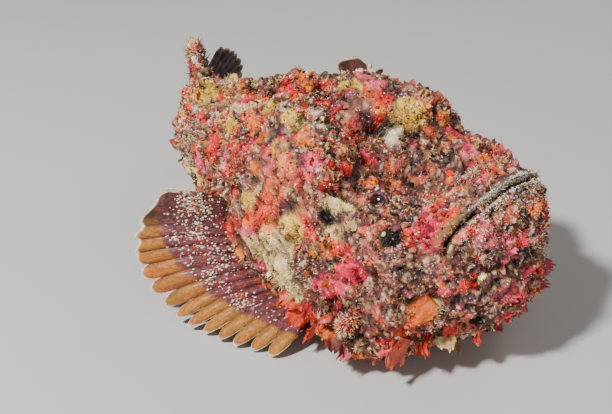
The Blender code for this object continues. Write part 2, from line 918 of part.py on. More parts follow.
def material(name, colour, roughness, metallic=0.0):
    """A plain shader of one colour."""
    made = bpy.data.materials.new(name)
    made.use_nodes = True
    shader = made.node_tree.nodes["Principled BSDF"]
    shader.inputs["Base Color"].default_value = (*colour, 1)
    shader.inputs["Roughness"].default_value = roughness
    shader.inputs["Metallic"].default_value = metallic
    return made


def main():
    for obj in list(bpy.data.objects):
        bpy.data.objects.remove(obj)

    front = body_length("head", NECK_X + GAP / 2, SNOUT_X)
    trunk = body_length("trunk", TRUNK_END_X + GAP / 2, NECK_X - GAP / 2)
    tail = body_length("tail", TAIL_ROOT_X, TRUNK_END_X - GAP / 2)
    finder = surface_finder(front)

    jaw = copy_of(front, "jaw")
    inside = prism("inside", jaw_outline(-GAP / 2), JAW_BACK_X + GAP, AHEAD_OF_SNOUT_X)
    outside = prism("outside", jaw_outline(GAP / 2), JAW_BACK_X, AHEAD_OF_SNOUT_X)
    combined(jaw, [inside], "INTERSECT")
    combined(front, [outside], "DIFFERENCE")
    combined(front, [lip("upper", finder, LIP_RADIUS + GAP)], "UNION")
    combined(jaw, [lip("lower", finder, -LIP_RADIUS - GAP)], "UNION")

    eyes = []
    for side, name in ((1, "eye_left"), (-1, "eye_right")):
        centre, look = eye_place(side)
        lid = ring("lid", centre + look * LID_OUT, look, EYE_RADIUS, LID_RADIUS)
        socket = ball("socket", centre, EYE_RADIUS + GAP, EYE_SIDES, EYE_RINGS)
        combined(front, [lid], "UNION")
        combined(front, [socket], "DIFFERENCE")
        eyes.append(ball(name, centre, EYE_RADIUS, EYE_SIDES, EYE_RINGS))

    rng = random.Random(SEED)
    combined(
        front,
        warts("head", NECK_X, 0.122, rng) + node_flaps("head", rng) + nostrils(),
        "UNION",
    )
    combined(jaw, warts("jaw", 0.100, SNOUT_X, rng) + chin_flaps(rng), "UNION")
    combined(
        trunk, warts("trunk", TRUNK_END_X, NECK_X, rng) + node_flaps("trunk", rng), "UNION"
    )
    combined(
        tail, warts("tail", TAIL_ROOT_X + 0.012, TRUNK_END_X, rng) + node_flaps("tail", rng),
        "UNION",
    )

    fins = [
        pectoral("pectoral_fin_left", 1),
        pectoral("pectoral_fin_right", -1),
        pelvic("pelvic_fin_left", 1),
        pelvic("pelvic_fin_right", -1),
        dorsal(),
        anal(),
        caudal(),
    ]
    for fin in fins:
        clearance = body_length("clearance", TAIL_ROOT_X, SNOUT_X, swell=GAP)
        combined(fin, [clearance], "DIFFERENCE")

    flesh = {"head": front, "jaw": jaw, "trunk": trunk, "tail": tail}
    for name, obj in flesh.items():
        obj.data.materials.clear()
        obj.data.materials.append(material(name + " " + SKIN, COLOURS[name], 0.8))
    for fin in fins:
        fin.data.materials.clear()
        fin.data.materials.append(material(fin.name + " skin", COLOURS["fin"], 0.7))
    for eye in eyes:
        eye.data.materials.append(material(eye.name + " cornea", COLOURS["eye"], 0.2))


main()
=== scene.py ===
"""The reef stonefish's finish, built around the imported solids.

One skin with warts, pits and folds replaces the flesh. A coat of lumps, specks, tufts and ragged
flaps grows on it in the same markings, and finer fans of rays replace the fins. Units are metres,
+Z is up, the fish faces +X and its left side is +Y.
"""

import math
from collections import namedtuple

import bpy
import numpy as np
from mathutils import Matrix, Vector
from mathutils.bvhtree import BVHTree


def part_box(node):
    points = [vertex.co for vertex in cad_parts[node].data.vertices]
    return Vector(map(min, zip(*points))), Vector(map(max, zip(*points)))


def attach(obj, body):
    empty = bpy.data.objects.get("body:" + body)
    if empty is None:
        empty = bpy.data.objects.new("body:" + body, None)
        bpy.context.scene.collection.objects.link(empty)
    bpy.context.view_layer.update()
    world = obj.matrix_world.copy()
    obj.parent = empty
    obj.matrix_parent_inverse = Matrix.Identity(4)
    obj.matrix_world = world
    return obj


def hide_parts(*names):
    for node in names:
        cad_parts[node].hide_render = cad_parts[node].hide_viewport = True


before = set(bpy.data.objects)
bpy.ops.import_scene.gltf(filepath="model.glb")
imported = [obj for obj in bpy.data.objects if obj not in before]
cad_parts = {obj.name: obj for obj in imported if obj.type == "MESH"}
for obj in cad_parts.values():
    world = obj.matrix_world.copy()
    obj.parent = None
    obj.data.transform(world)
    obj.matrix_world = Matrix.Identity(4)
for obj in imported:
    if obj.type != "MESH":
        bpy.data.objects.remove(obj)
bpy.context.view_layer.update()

# The body that the solids were built from, repeated so that the skin keeps their shape
SNOUT_X = 0.134
TAIL_ROOT_X = -0.170
PROFILE = (
    (-0.170, 0.082, 0.046, 0.009),
    (-0.146, 0.087, 0.038, 0.015),
    (-0.116, 0.096, 0.024, 0.029),
    (-0.076, 0.110, 0.009, 0.052),
    (-0.036, 0.121, -0.002, 0.070),
    (0.002, 0.126, -0.004, 0.077),
    (0.028, 0.118, -0.004, 0.079),
    (0.052, 0.099, -0.003, 0.078),
    (0.078, 0.104, 0.003, 0.071),
    (0.102, 0.120, 0.010, 0.055),
    (0.134, 0.121, 0.022, 0.046),
)
WIDEST_SHARE = 0.42
BACK_SQUARENESS = 2.75
BELLY_SQUARENESS = 2.9
FACE_START_X = 0.078
FACE_Z = 0.062
LEAN = 0.42
LEAN_SPREAD_X = 0.050
LEAN_Z = 0.060
BEND_START_X = -0.112
BEND_LENGTH = 0.076
BEND_TURN = math.radians(76)
BEND_STEPS = 240
FEATURES = (
    ((0.055, 0.036, 0.097), 0.012, 0.0040),
    ((0.060, 0.000, 0.104), 0.017, -0.0070),
    ((0.022, 0.000, 0.120), 0.015, -0.0130),
    ((0.016, 0.052, 0.108), 0.021, 0.0130),
    ((-0.012, 0.034, 0.122), 0.026, 0.0060),
    ((0.060, 0.064, 0.092), 0.019, 0.0130),
    ((0.070, 0.074, 0.070), 0.011, -0.0100),
    ((0.080, 0.068, 0.046), 0.022, 0.0050),
    ((0.104, 0.022, 0.114), 0.014, 0.0030),
    ((0.028, 0.078, 0.058), 0.022, 0.0050),
    ((-0.010, 0.072, 0.088), 0.014, -0.0070),
    ((-0.036, 0.068, 0.056), 0.020, 0.0050),
    ((0.129, 0.022, 0.048), 0.016, 0.0030),
    ((0.114, 0.026, 0.094), 0.012, 0.0040),
    ((0.120, 0.022, 0.076), 0.012, -0.0030),
    ((0.040, 0.058, 0.102), 0.016, 0.0070),
    ((0.096, 0.048, 0.100), 0.013, -0.0040),
)
MOUTH_X = 0.110
MOUTH_RISE = math.tan(math.radians(38))
MOUTH_HALF = 0.045
MOUTH_HALF_LEFT = 0.040
MOUTH_ARCH = 5.5
MOUTH_ARCH_LEFT = 2.4
MOUTH_CORNER_Z = 0.0955
MOUTH_TOP_Z = 0.1130

# Grid of the skin, and how far inside the solids it lies to leave room for the coat
BODY_RINGS = 212
FACE_RINGS = 104
TURNS = 304
COAT_DEPTH = 0.0008
# How far above the floor the lowest points of each kind of surface stay
SKIN_GAP = 0.0002
COAT_GAP = 0.0003
FIN_GAP = 0.0004
FLAP_GAP = 0.0006
MM = 0.001
SEED = 11


def smooth(t):
    """A smooth step from 0 to 1."""
    t = np.clip(t, 0, 1)
    return t * t * (3 - 2 * t)


def rise(value, start, width):
    """A smooth step from 0 at the start to 1 at a width beyond it."""
    return smooth((value - start) / width)


def fall(value, end, width):
    """A smooth step that comes down from 1 over a width and reaches 0 at the end."""
    return smooth((end - value) / width)


def hump(value, width, power=2):
    """A bell that is 1 where the value is 0 and falls away over a width."""
    return np.exp(-((value / width) ** power))


def distance(points, place):
    """Distances from points to one place."""
    return np.linalg.norm(points - place, axis=-1)


def ring_turns(count):
    """Turns in radians of points spread evenly round a ring."""
    return 2 * np.pi * np.arange(count) / count


def lift(points, gap):
    """Keeps points no lower than a gap above the floor."""
    points[..., 2] = np.maximum(points[..., 2], gap)


def through(table, column, x):
    """Values at x of a smooth curve through one column of a table whose first column is x."""
    xs = np.array([row[0] for row in table])
    ys = np.array([row[column] for row in table])
    i = np.clip(np.searchsorted(xs, x, side="right") - 1, 0, len(xs) - 2)
    low = np.maximum(np.arange(len(xs)) - 1, 0)
    high = np.minimum(np.arange(len(xs)) + 1, len(xs) - 1)
    slope = (ys[high] - ys[low]) / (xs[high] - xs[low])
    step = xs[i + 1] - xs[i]
    t = np.clip((x - xs[i]) / step, 0, 1)
    return (
        ys[i] * (1 - smooth(t))
        + ys[i + 1] * smooth(t)
        + slope[i] * step * t * (1 - t) ** 2
        - slope[i + 1] * step * t * t * (1 - t)
    )


def unit(v):
    """Rows of an array made one unit long."""
    return v / np.maximum(np.linalg.norm(v, axis=-1, keepdims=True), 1e-12)


def stacked(*parts):
    """Arrays or numbers put side by side along a last axis."""
    return np.stack(np.broadcast_arrays(*parts), -1)


def section(x, turn):
    """Points of the straight body: turn is 0 at the left side, a quarter circle at the back."""
    back, belly, half = (through(PROFILE, column, x) for column in (1, 2, 3))
    middle = belly + (back - belly) * WIDEST_SHARE
    c, s = np.cos(turn), np.sin(turn)
    squareness = np.where(s > 0, BACK_SQUARENESS, BELLY_SQUARENESS)
    tall = np.where(s > 0, back - middle, middle - belly)
    t = np.clip((x - FACE_START_X) / (SNOUT_X - FACE_START_X), 0, 1)
    share = np.sqrt(1 - t * t)
    y = half * np.sign(c) * np.abs(c) ** (2 / squareness) * share
    z = FACE_Z + (middle + tall * np.sign(s) * np.abs(s) ** (2 / squareness) - FACE_Z) * share
    lean = LEAN * hump(x, LEAN_SPREAD_X)
    return stacked(x - lean * (z - LEAN_Z), y, z)


def straight_skin(x, turn):
    """Points and outward normals of the straight skin, with its swellings and hollows."""
    step = 1e-4
    point = section(x, turn)
    inward = np.where(x + step > SNOUT_X, -step, step)
    along = (section(x + inward, turn) - point) / inward[..., None]
    around = section(x, turn + step) - point
    normal = unit(np.cross(around, along))
    normal[x > SNOUT_X - 1e-6] = (1, 0, 0)
    out = np.zeros(x.shape)
    for (fx, fy, fz), radius, height in FEATURES:
        for side in {fy, -fy}:
            away = distance(point, (fx, side, fz)) / radius
            out += height * np.exp(-away * away)
    return point + normal * out[..., None], normal


def curl_stations():
    """Places and headings of the spine behind the bend's start, summed in short steps."""
    t = np.arange(BEND_STEPS + 1) / BEND_STEPS
    heading = BEND_TURN * smooth(t)
    step = BEND_LENGTH / BEND_STEPS
    x = BEND_START_X - step * np.concatenate([[0], np.cumsum(np.cos(heading))[:-1]])
    y = step * np.concatenate([[0], np.cumsum(np.sin(heading))[:-1]])
    return x, y, heading


CURL = curl_stations()


def posed(points, normals=None):
    """Points, and directions at them, carried from the straight fish to the curled one."""
    back = BEND_START_X - points[..., 0]
    place = np.clip(back / BEND_LENGTH * BEND_STEPS, 0, BEND_STEPS)
    x0, y0, heading = (np.interp(place, np.arange(BEND_STEPS + 1), column) for column in CURL)
    beyond = np.maximum(0, back - BEND_LENGTH)
    c, s = np.cos(heading), np.sin(heading)
    ahead = np.minimum(back, 0)
    x = x0 + points[..., 1] * s - (beyond + ahead) * c
    y = y0 + points[..., 1] * c + beyond * s
    moved = stacked(x, y, points[..., 2])
    if normals is None:
        return moved
    nx, ny = normals[..., 0], normals[..., 1]
    return moved, stacked(nx * c + ny * s, ny * c - nx * s, normals[..., 2])


def skin_at(x, turn_degrees):
    """Points and normals of the posed body, no lower than the floor."""
    x, turn = np.broadcast_arrays(np.asarray(x, float), np.radians(turn_degrees))
    points, normals = posed(*straight_skin(x.copy(), turn.copy()))
    lift(points, 0)
    return points, normals


# Noise

def lattice(i, j, k, seed):
    """A repeatable number from 0 to 1 for each whole-number place."""
    h = i * 73856093 ^ j * 19349663 ^ k * 83492791 ^ seed * 265443576
    h = (h ^ (h >> 13)) * 1274126177 & 0xFFFFFFFF
    h = (h ^ (h >> 15)) * 2246822519 & 0xFFFFFFFF
    return ((h ^ (h >> 13)) & 0xFFFFFF) / 0xFFFFFF


def waves(points, size, seed, octaves=1):
    """Smooth noise from -1 to 1 with features of about this size."""
    total, weight = 0.0, 0.0
    for octave in range(octaves):
        p = points / size * 2**octave
        cell = np.floor(p).astype(np.int64)
        t = smooth(p - cell)
        value = 0.0
        for corner in range(8):
            d = (corner & 1, corner >> 1 & 1, corner >> 2 & 1)
            share = np.prod([t[..., a] if d[a] else 1 - t[..., a] for a in range(3)], axis=0)
            value = value + share * lattice(*(cell[..., a] + d[a] for a in range(3)), seed + octave)
        total = total + (2 * value - 1) * 0.5**octave
        weight += 0.5**octave
    return total / weight


def cells(points, size, seed):
    """Distance to the nearest of scattered centres, and to the next, in sizes, and its number."""
    p = points / size
    base = np.floor(p).astype(np.int64)
    first = np.full(p.shape[:-1], 9.0)
    second = first.copy()
    number = np.zeros(p.shape[:-1])
    for a in (-1, 0, 1):
        for b in (-1, 0, 1):
            for c in (-1, 0, 1):
                place = base + (a, b, c)
                i, j, k = place[..., 0], place[..., 1], place[..., 2]
                centre = stacked(*(lattice(i, j, k, seed + n) for n in range(3))) + place
                away = distance(p, centre)
                nearer = away < first
                second = np.where(nearer, first, np.minimum(second, away))
                number = np.where(nearer, lattice(i, j, k, seed + 5), number)
                first = np.where(nearer, away, first)
    return first, second, number


def bumps(points, size, seed, radius):
    """A round bump from 0 to 1 on each of scattered cells, and the number of its cell."""
    near, _, number = cells(points, size, seed)
    return smooth(1 - near / radius), number


def swirl(points, size, seed):
    """Smooth noise in each of the three directions, to warp places with."""
    return stacked(*(waves(points, size, seed + axis, 2) for axis in range(3)))


# Colours, as they look on a screen, from 0 to 255

PALETTE = {
    "ground": (106, 64, 54),
    "dark": (30, 18, 17),
    "maroon": (92, 36, 40),
    "purple": (72, 50, 64),
    "brown": (110, 70, 50),
    "tan": (180, 136, 96),
    "cream": (240, 210, 154),
    "straw": (232, 190, 104),
    "pale": (244, 226, 202),
    "salmon": (220, 106, 84),
    "pink": (224, 96, 114),
    "mauve": (132, 80, 80),
    "red": (208, 44, 40),
    "magenta": (212, 58, 80),
    "orange": (236, 118, 30),
    "flame": (228, 78, 40),
    "olive": (126, 112, 62),
    "grey": (124, 116, 112),
    "ray": (182, 128, 70),
    "white": (250, 242, 230),
}
# How much further from grey the colours stand in the render than in the palette
VIVID = 1.22


def linear(name):
    """A palette colour as linear light."""
    screen = np.array(PALETTE[name]) / 255
    light = np.where(screen <= 0.04045, screen / 12.92, ((screen + 0.055) / 1.055) ** 2.4)
    middle = light @ (0.2126, 0.7152, 0.0722)
    return np.clip(middle + (light - middle) * VIVID, 0.004, 1)


# Shares of each colour in the ground of the skin, in the patches on it and in its fine grain
GROUNDS = (
    ("ground", 22), ("brown", 20), ("maroon", 16), ("mauve", 14), ("tan", 8), ("purple", 8),
    ("dark", 5), ("salmon", 7),
)
ACCENTS = (
    ("red", 22), ("flame", 16), ("orange", 12), ("magenta", 14), ("pink", 8), ("salmon", 12),
    ("cream", 10), ("straw", 6),
)
HEAD_GROUNDS = (
    ("mauve", 26), ("maroon", 20), ("purple", 14), ("ground", 14), ("salmon", 9), ("brown", 9),
    ("dark", 5), ("pink", 3),
)
FINE = (
    ("dark", 26), ("tan", 20), ("cream", 15), ("brown", 12), ("maroon", 10), ("pale", 10),
    ("purple", 7),
)
ACCENT_SHARE_BODY = 0.46
ACCENT_SHARE_HEAD = 0.24

# Patches that the photograph shows, in millimetres: x, y, z, radius, colour, and how solid
PATCHES = (
    (8, -79, 62, 17, "cream", 0.95), (20, -80, 48, 15, "cream", 0.9), (-8, -76, 58, 9, "cream", 0.7),
    (1, -44, 121, 6, "orange", 1.0), (6, -49, 122, 6, "orange", 1.0), (-40, -47, 118, 7, "orange", 0.9),
    (-26, -52, 118, 4, "orange", 0.9), (-17, -58, 115, 4, "flame", 0.8), (17, -58, 119, 8, "pink", 0.95),
    (2, -68, 113, 13, "salmon", 0.9), (-84, -39, 93, 7, "red", 1.0), (-70, -48, 92, 9, "red", 0.9),
    (-83, -46, 80, 5, "flame", 0.8), (-41, -62, 98, 6, "red", 0.8), (-20, -64, 104, 5, "orange", 0.85),
    (-23, -69, 85, 6, "straw", 0.9), (-5, -69, 86, 9, "flame", 0.9), (-13, -72, 76, 8, "flame", 0.85),
    (0, -73, 78, 6, "orange", 0.9), (19, -76, 85, 8, "straw", 0.9), (-40, -72, 55, 9, "red", 0.85),
    (8, -71, 97, 4, "magenta", 0.9), (30, -43, 114, 6, "red", 0.85), (28, -19, 108, 4, "red", 0.9),
    (-50, -4, 125, 8, "red", 0.9), (-72, -8, 115, 5, "red", 0.9), (-38, 11, 126, 5, "magenta", 0.9),
    (-15, 14, 128, 5, "pink", 0.8), (-16, -7, 128, 6, "red", 0.8), (-79, -13, 109, 8, "magenta", 0.7),
    (-41, -28, 124, 8, "straw", 0.8), (-64, -23, 114, 9, "cream", 0.8), (-47, -10, 123, 4, "pale", 0.8),
    (-5, 8, 125, 13, "mauve", 0.75), (-3, 22, 126, 6, "orange", 0.6), (6, 27, 123, 5, "red", 0.9),
    (5, -1, 116, 7, "magenta", 0.5), (22, 15, 110, 6, "cream", 1.0), (-123, -2, 95, 12, "straw", 0.85),
    (-99, -5, 106, 12, "tan", 0.8), (-122, -17, 89, 4, "white", 0.8), (-58, -32, 114, 5, "flame", 0.95),
    (-108, -24, 91, 4, "red", 0.95), (-2, -16, 125, 5, "red", 0.85), (-10, -22, 128, 4, "pale", 0.8),
    (35, 50, 111, 5, "orange", 1.0), (21, 31, 117, 11, "straw", 0.75), (44, 49, 103, 7, "magenta", 0.7),
    (61, 40, 102, 7, "pink", 0.85), (49, 49, 101, 6, "flame", 0.9), (75, 39, 100, 7, "orange", 0.9),
    (65, 12, 100, 5, "orange", 0.9),
    (93, -3, 113, 8, "pink", 0.65), (47, -17, 98, 8, "orange", 0.65), (59, -10, 95, 12, "brown", 0.6),
    (91, -17, 112, 5, "orange", 0.95), (90, -44, 98, 10, "magenta", 0.85), (82, -52, 95, 6, "red", 0.8),
    (116, -8, 106, 5, "salmon", 0.9), (123, 13, 97, 6, "orange", 1.0), (111, -35, 103, 4, "red", 0.95),
    (118, -27, 100, 8, "pink", 0.7), (36, -64, 104, 6, "cream", 1.0), (44, -60, 104, 5, "cream", 1.0),
    # The purple patch at (36, -67, 97) is painted shade in the groove under the cream fold
    (36, -67, 97, 4, "purple", 0.9), (45, -73, 83, 6, "orange", 0.9), (54, -73, 81, 7, "red", 0.9),
    (59, -72, 72, 10, "magenta", 0.95), (48, -80, 60, 9, "magenta", 0.9), (52, -79, 50, 6, "red", 0.8),
    (30, -80, 30, 12, "flame", 0.8), (50, -79, 22, 10, "orange", 0.6), (12, -78, 28, 10, "flame", 0.8),
    (97, -57, 52, 9, "orange", 0.8), (92, -62, 34, 8, "flame", 0.7), (70, -76, 40, 9, "maroon", 0.7),
    (127, -18, 62, 8, "pink", 0.5), (131, 6, 56, 7, "orange", 0.5), (120, -30, 40, 9, "tan", 0.6),
    (-141, 1, 119, 13, "mauve", 0.85), (-134, -2, 104, 7, "tan", 0.7), (-142, 1, 133, 4, "white", 0.8),
    (-138, 0, 111, 5, "red", 0.8), (-140, 0, 122, 4, "red", 0.7), (-60, -46, 100, 6, "cream", 0.6),
    (-30, -68, 66, 8, "flame", 0.7),
    # The dark patches at (74, -57, 96), (7, 8, 117), (120, -31, 41) and (100, -50, 34) are painted shade
    # in the pit under the near eye, the pit on the nape and the groove under the lower jaw
    (74, -57, 96, 7, "dark", 1.0), (55, 30, 99, 5, "dark", 1.0), (7, 8, 117, 6, "dark", 0.9),
    (120, -31, 41, 8, "dark", 0.9), (100, -50, 34, 9, "dark", 0.9), (86, -32, 105, 5, "red", 0.8),
    (66, -24, 99, 12, "mauve", 0.6), (-33, -65, 98, 12, "maroon", 0.5), (127, 16, 29, 6, "orange", 0.9),
    (24, 13, 108, 6, "pale", 0.9), (45, 11, 98, 7, "purple", 0.7),
)
# Colours of patches that the coat covers as thickly as the skin round them
CRUSTED = ("cream", "tan", "brown", "maroon", "pale", "purple", "white", "mauve")
# Spongy places, in millimetres: x, y, z and radius
PITTED = ((8, -79, 62, 17), (20, -80, 48, 15), (-64, -23, 114, 10), (21, 31, 117, 9))
PATCH_EDGE = 0.35
# Where the body's colours give way to the head's, and over what length
HEAD_START_X = 0.01
HEAD_FADE = 0.05


def choose(shares, number):
    """The palette colour that each number from 0 to 1 falls on."""
    names = [name for name, _ in shares]
    limits = np.cumsum([share for _, share in shares])
    table = np.array([linear(name) for name in names])
    place = np.searchsorted(limits / limits[-1], number)
    return table[np.clip(place, 0, len(names) - 1)]


def blend(one, other, share):
    """Colours, or one colour, mixed with others, the share being one number a row."""
    return one + (other - one) * np.clip(share, 0, 1)[..., None]


def away_from(points, spot):
    """Distances from a spot of x, y, z and radius in millimetres, counted in its radii."""
    return distance(points, np.array(spot[:3]) * MM) / (spot[3] * MM)


def markings(points):
    """The animal's colour at each point of its surface, for the skin and for the coat alike."""
    warped = points + 0.004 * swirl(points, 0.011, 20)
    head = rise(points[..., 0], HEAD_START_X, HEAD_FADE)

    def ground_colour(number):
        return blend(choose(GROUNDS, number), choose(HEAD_GROUNDS, number), head)

    colour = ground_colour(cells(warped, 0.0105, 31)[2])
    middle, _, other = cells(warped, 0.0056, 47)
    colour = blend(colour, ground_colour(other), 0.6 * (middle < 0.62))
    near, _, drawn = cells(warped, 0.0125, 39)
    share = ACCENT_SHARE_BODY + (ACCENT_SHARE_HEAD - ACCENT_SHARE_BODY) * head
    inside = smooth((0.62 - near + 0.22 * waves(points, 0.0045, 43, 2)) / 0.10 + 0.5)
    inside = inside * (drawn < share)
    colour = blend(colour, choose(ACCENTS, np.mod(drawn * 977.0, 1.0)), 0.88 * inside)
    clear = 0.7 * inside
    for spot in PATCHES:
        x, name, solid = spot[0], spot[4], spot[5]
        ragged = away_from(points, spot) + 0.34 * waves(points, 0.0052, x + 300, 2)
        within = solid * smooth((1 - ragged) / PATCH_EDGE + 0.5)
        colour = blend(colour, linear(name), within)
        smoothness = 0.25 if name in CRUSTED else 1.0
        clear = clear * (1 - within) + smoothness * within
    near, _, fine = cells(points + 0.0012 * waves(points, 0.003, 8)[..., None], 0.0022, 53)
    colour = blend(colour, choose(FINE, fine), 0.48 * (near < 0.6) * (1 - 0.85 * clear))
    shade = 1 + 0.26 * waves(points, 0.0075, 61, 3)
    return np.clip(colour * shade[..., None], 0, 1)


# Mesh making

def add_object(name, data):
    """A new object in the scene, of a mesh, a camera or a light."""
    obj = bpy.data.objects.new(name, data)
    bpy.context.scene.collection.objects.link(obj)
    return obj


def mesh_object(name, points, faces, colours=None, bake=None):
    """A smooth mesh object from arrays, with a colour for each point and, for a coat, OFBake."""
    mesh = bpy.data.meshes.new(name)
    loops = [np.asarray(part, np.int32) for part in faces]
    counts = np.concatenate([np.full(len(part), part.shape[1], np.int32) for part in loops])
    corners = np.concatenate([part.ravel() for part in loops])
    mesh.vertices.add(len(points))
    mesh.vertices.foreach_set("co", np.asarray(points, np.float32).ravel())
    mesh.loops.add(len(corners))
    mesh.loops.foreach_set("vertex_index", corners)
    mesh.polygons.add(len(counts))
    starts = np.concatenate([[0], np.cumsum(counts)[:-1]]).astype(np.int32)
    mesh.polygons.foreach_set("loop_start", starts)
    mesh.polygons.foreach_set("use_smooth", np.ones(len(counts), bool))
    if colours is not None:
        tint = mesh.color_attributes.new("tint", "FLOAT_COLOR", "POINT")
        full = np.concatenate([colours, np.ones((len(colours), 1))], 1)
        tint.data.foreach_set("color", full.astype(np.float32).ravel())
    if bake is not None:
        unwrap = mesh.uv_layers.new(name="OFBake")
        unwrap.data.foreach_set("uv", bake[corners].astype(np.float32).ravel())
    mesh.update()
    mesh.validate()
    return add_object(name, mesh)


def grid_faces(rows, columns, wrap):
    """Quads between the rows and columns of a grid, which may close on itself."""
    row = np.arange(rows - 1)[:, None] * columns
    k = np.arange(columns if wrap else columns - 1)
    after = (k + 1) % columns
    return stacked(row + k, row + after, row + columns + after, row + columns + k).reshape(-1, 4)


def cap(first, sides, tip):
    """Triangles from a ring, whose points start at a number, to one tip."""
    k = np.arange(sides)
    return stacked(first + k, first + (k + 1) % sides, tip)


def two_faced(upper, lower):
    """Points and faces of a sheet between two grids of points, closed round its border."""
    rows, columns = upper.shape[:2]
    shift = rows * columns
    number = np.arange(shift).reshape(rows, columns)
    border = np.concatenate([number[:, 0], number[-1, 1:], number[-2::-1, -1], number[0, -2:0:-1]])
    after = np.roll(border, -1)
    rim = stacked(border, after, after + shift, border + shift)
    faces = grid_faces(rows, columns, False)
    points = np.concatenate([upper.reshape(-1, 3), lower.reshape(-1, 3)])
    return points, [faces[:, ::-1], faces + shift, rim]


def grid_normals(points, wrap):
    """Normals of a grid of points, rows first."""
    along = np.gradient(points, axis=0)
    if wrap:
        around = (np.roll(points, -1, 1) - np.roll(points, 1, 1)) / 2
    else:
        around = np.gradient(points, axis=1)
    return unit(np.cross(around, along))


# The skin

def mouth_distance(points):
    """Signed distance above the mouth line, along the skin, and how far along the mouth."""
    y = points[..., 1]
    seen = points[..., 2] - (points[..., 0] - MOUTH_X) * MOUTH_RISE
    half = np.where(y > 0, MOUTH_HALF_LEFT, MOUTH_HALF)
    power = np.where(y > 0, MOUTH_ARCH_LEFT, MOUTH_ARCH)
    share = np.abs(y) / half
    clipped = np.minimum(share, 1)
    line = MOUTH_TOP_Z - (MOUTH_TOP_Z - MOUTH_CORNER_Z) * clipped**power
    slope = power * clipped ** (power - 1) * (MOUTH_TOP_Z - MOUTH_CORNER_Z) / half
    away = (seen - line) / np.sqrt(1 + slope**2 + MOUTH_RISE**2)
    return away, share


# Where the lips start behind the snout, and how far they go along the mouth, in half mouths
LIPS_START_X = 0.088
LIPS_END = 1.05
# Where along the mouth the grey of the lips turns to olive
OLIVE_START = 0.55
OLIVE_FADE = 0.3


def near_mouth(points, share):
    """1 on the face as far as the lips go, 0 behind and beside them."""
    return rise(points[..., 0], LIPS_START_X, 0.006) * fall(share, LIPS_END, 0.1)


# Folds and pits in millimetres: the points of a line, its half width, and how deep or high it is
FOLDS = (
    (((88, -62, 32), (98, -54, 34), (110, -44, 37), (121, -31, 41)), 4.0, -4.5),
    (((18, -63, 111), (26, -64, 110), (36, -60, 108)), 2.2, -3.0),
    (((75, -57, 96), (72, -60, 91)), 5.0, -8.0),
    (((11, 10, 113), (14, 12, 111)), 3.6, -6.0),
    (((-12, -35, 128), (-7, -36, 128)), 1.3, -2.2),
    (((-8, -38, 127), (-1, -39, 126)), 1.3, -2.0),
    (((-90, -34, 93), (-84, -36, 98), (-76, -38, 101)), 2.6, -5.0),
    (((-40, -66, 84), (-41, -66, 82)), 2.3, -3.6),
    (((-47, -64, 78), (-48, -64, 76)), 2.2, -3.4),
    (((-36, -68, 76), (-37, -68, 74)), 2.2, -3.4),
    (((-52, -60, 88), (-53, -60, 86)), 2.0, -3.0),
    (((13, -76, 94), (10, -75, 92)), 5.0, -3.0),
    (((-6, -66, 108), (6, -68, 106)), 1.8, -2.6),
    (((36, -67, 98), (40, -68, 95)), 3.2, -4.0),
    (((50, -80, 44), (58, -79, 46)), 2.2, -3.0),
    (((6, 2, 117), (10, 16, 116)), 1.6, 1.6),
    (((112, 38, 96), (121, 26, 93), (126, 12, 91), (127, -4, 88), (124, -20, 82), (116, -36, 72)),
     1.8, -3.0),
    (((96, 38, 106), (107, 26, 112), (113, 14, 114)), 9.0, -3.6),
    (((28, -66, 106), (36, -64, 107), (44, -60, 105), (50, -57, 102)), 2.6, 3.0),
    (((34, -60, 108), (42, -56, 106), (50, -53, 103)), 2.4, -3.2),
    (((-2, -60, 116), (10, -62, 114)), 3.0, 2.2),
    (((18, -14, 116), (14, 2, 115), (16, 18, 116)), 4.5, -3.0),
    (((24, 8, 111), (23, 18, 111)), 3.4, 3.2),
    (((56, -80, 56), (48, -80, 46), (34, -80, 40), (20, -80, 38)), 2.4, -3.0),
    (((30, -82, 70), (32, -82, 56), (28, -82, 44)), 2.2, -2.0),
    (((80, -66, 70), (84, -66, 58), (82, -68, 44)), 2.8, -2.6),
    (((-50, -56, 96), (-36, -62, 98), (-24, -64, 96)), 2.6, -2.6),
    (((-84, -38, 92), (-92, -32, 88), (-100, -26, 86)), 3.6, -4.5),
    (((60, -46, 102), (66, -42, 101), (70, -34, 102)), 1.8, -2.4),
    (((64, 30, 99), (70, 20, 99), (66, 8, 98)), 1.8, -2.4),
    (((88, -58, 78), (94, -58, 66), (98, -56, 50)), 1.8, -2.0),
    (((-6, -72, 92), (-14, -70, 84), (-16, -68, 70)), 2.4, -2.6),
)


def line_distance(points, line):
    """Distance from points to a line of straight pieces."""
    best = np.full(points.shape[:-1], 1.0)
    for a, b in zip(line, line[1:]):
        a, b = np.array(a) * MM, np.array(b) * MM
        run = b - a
        t = np.clip(((points - a) @ run) / (run @ run), 0, 1)
        best = np.minimum(best, distance(points - a, t[..., None] * run))
    return best


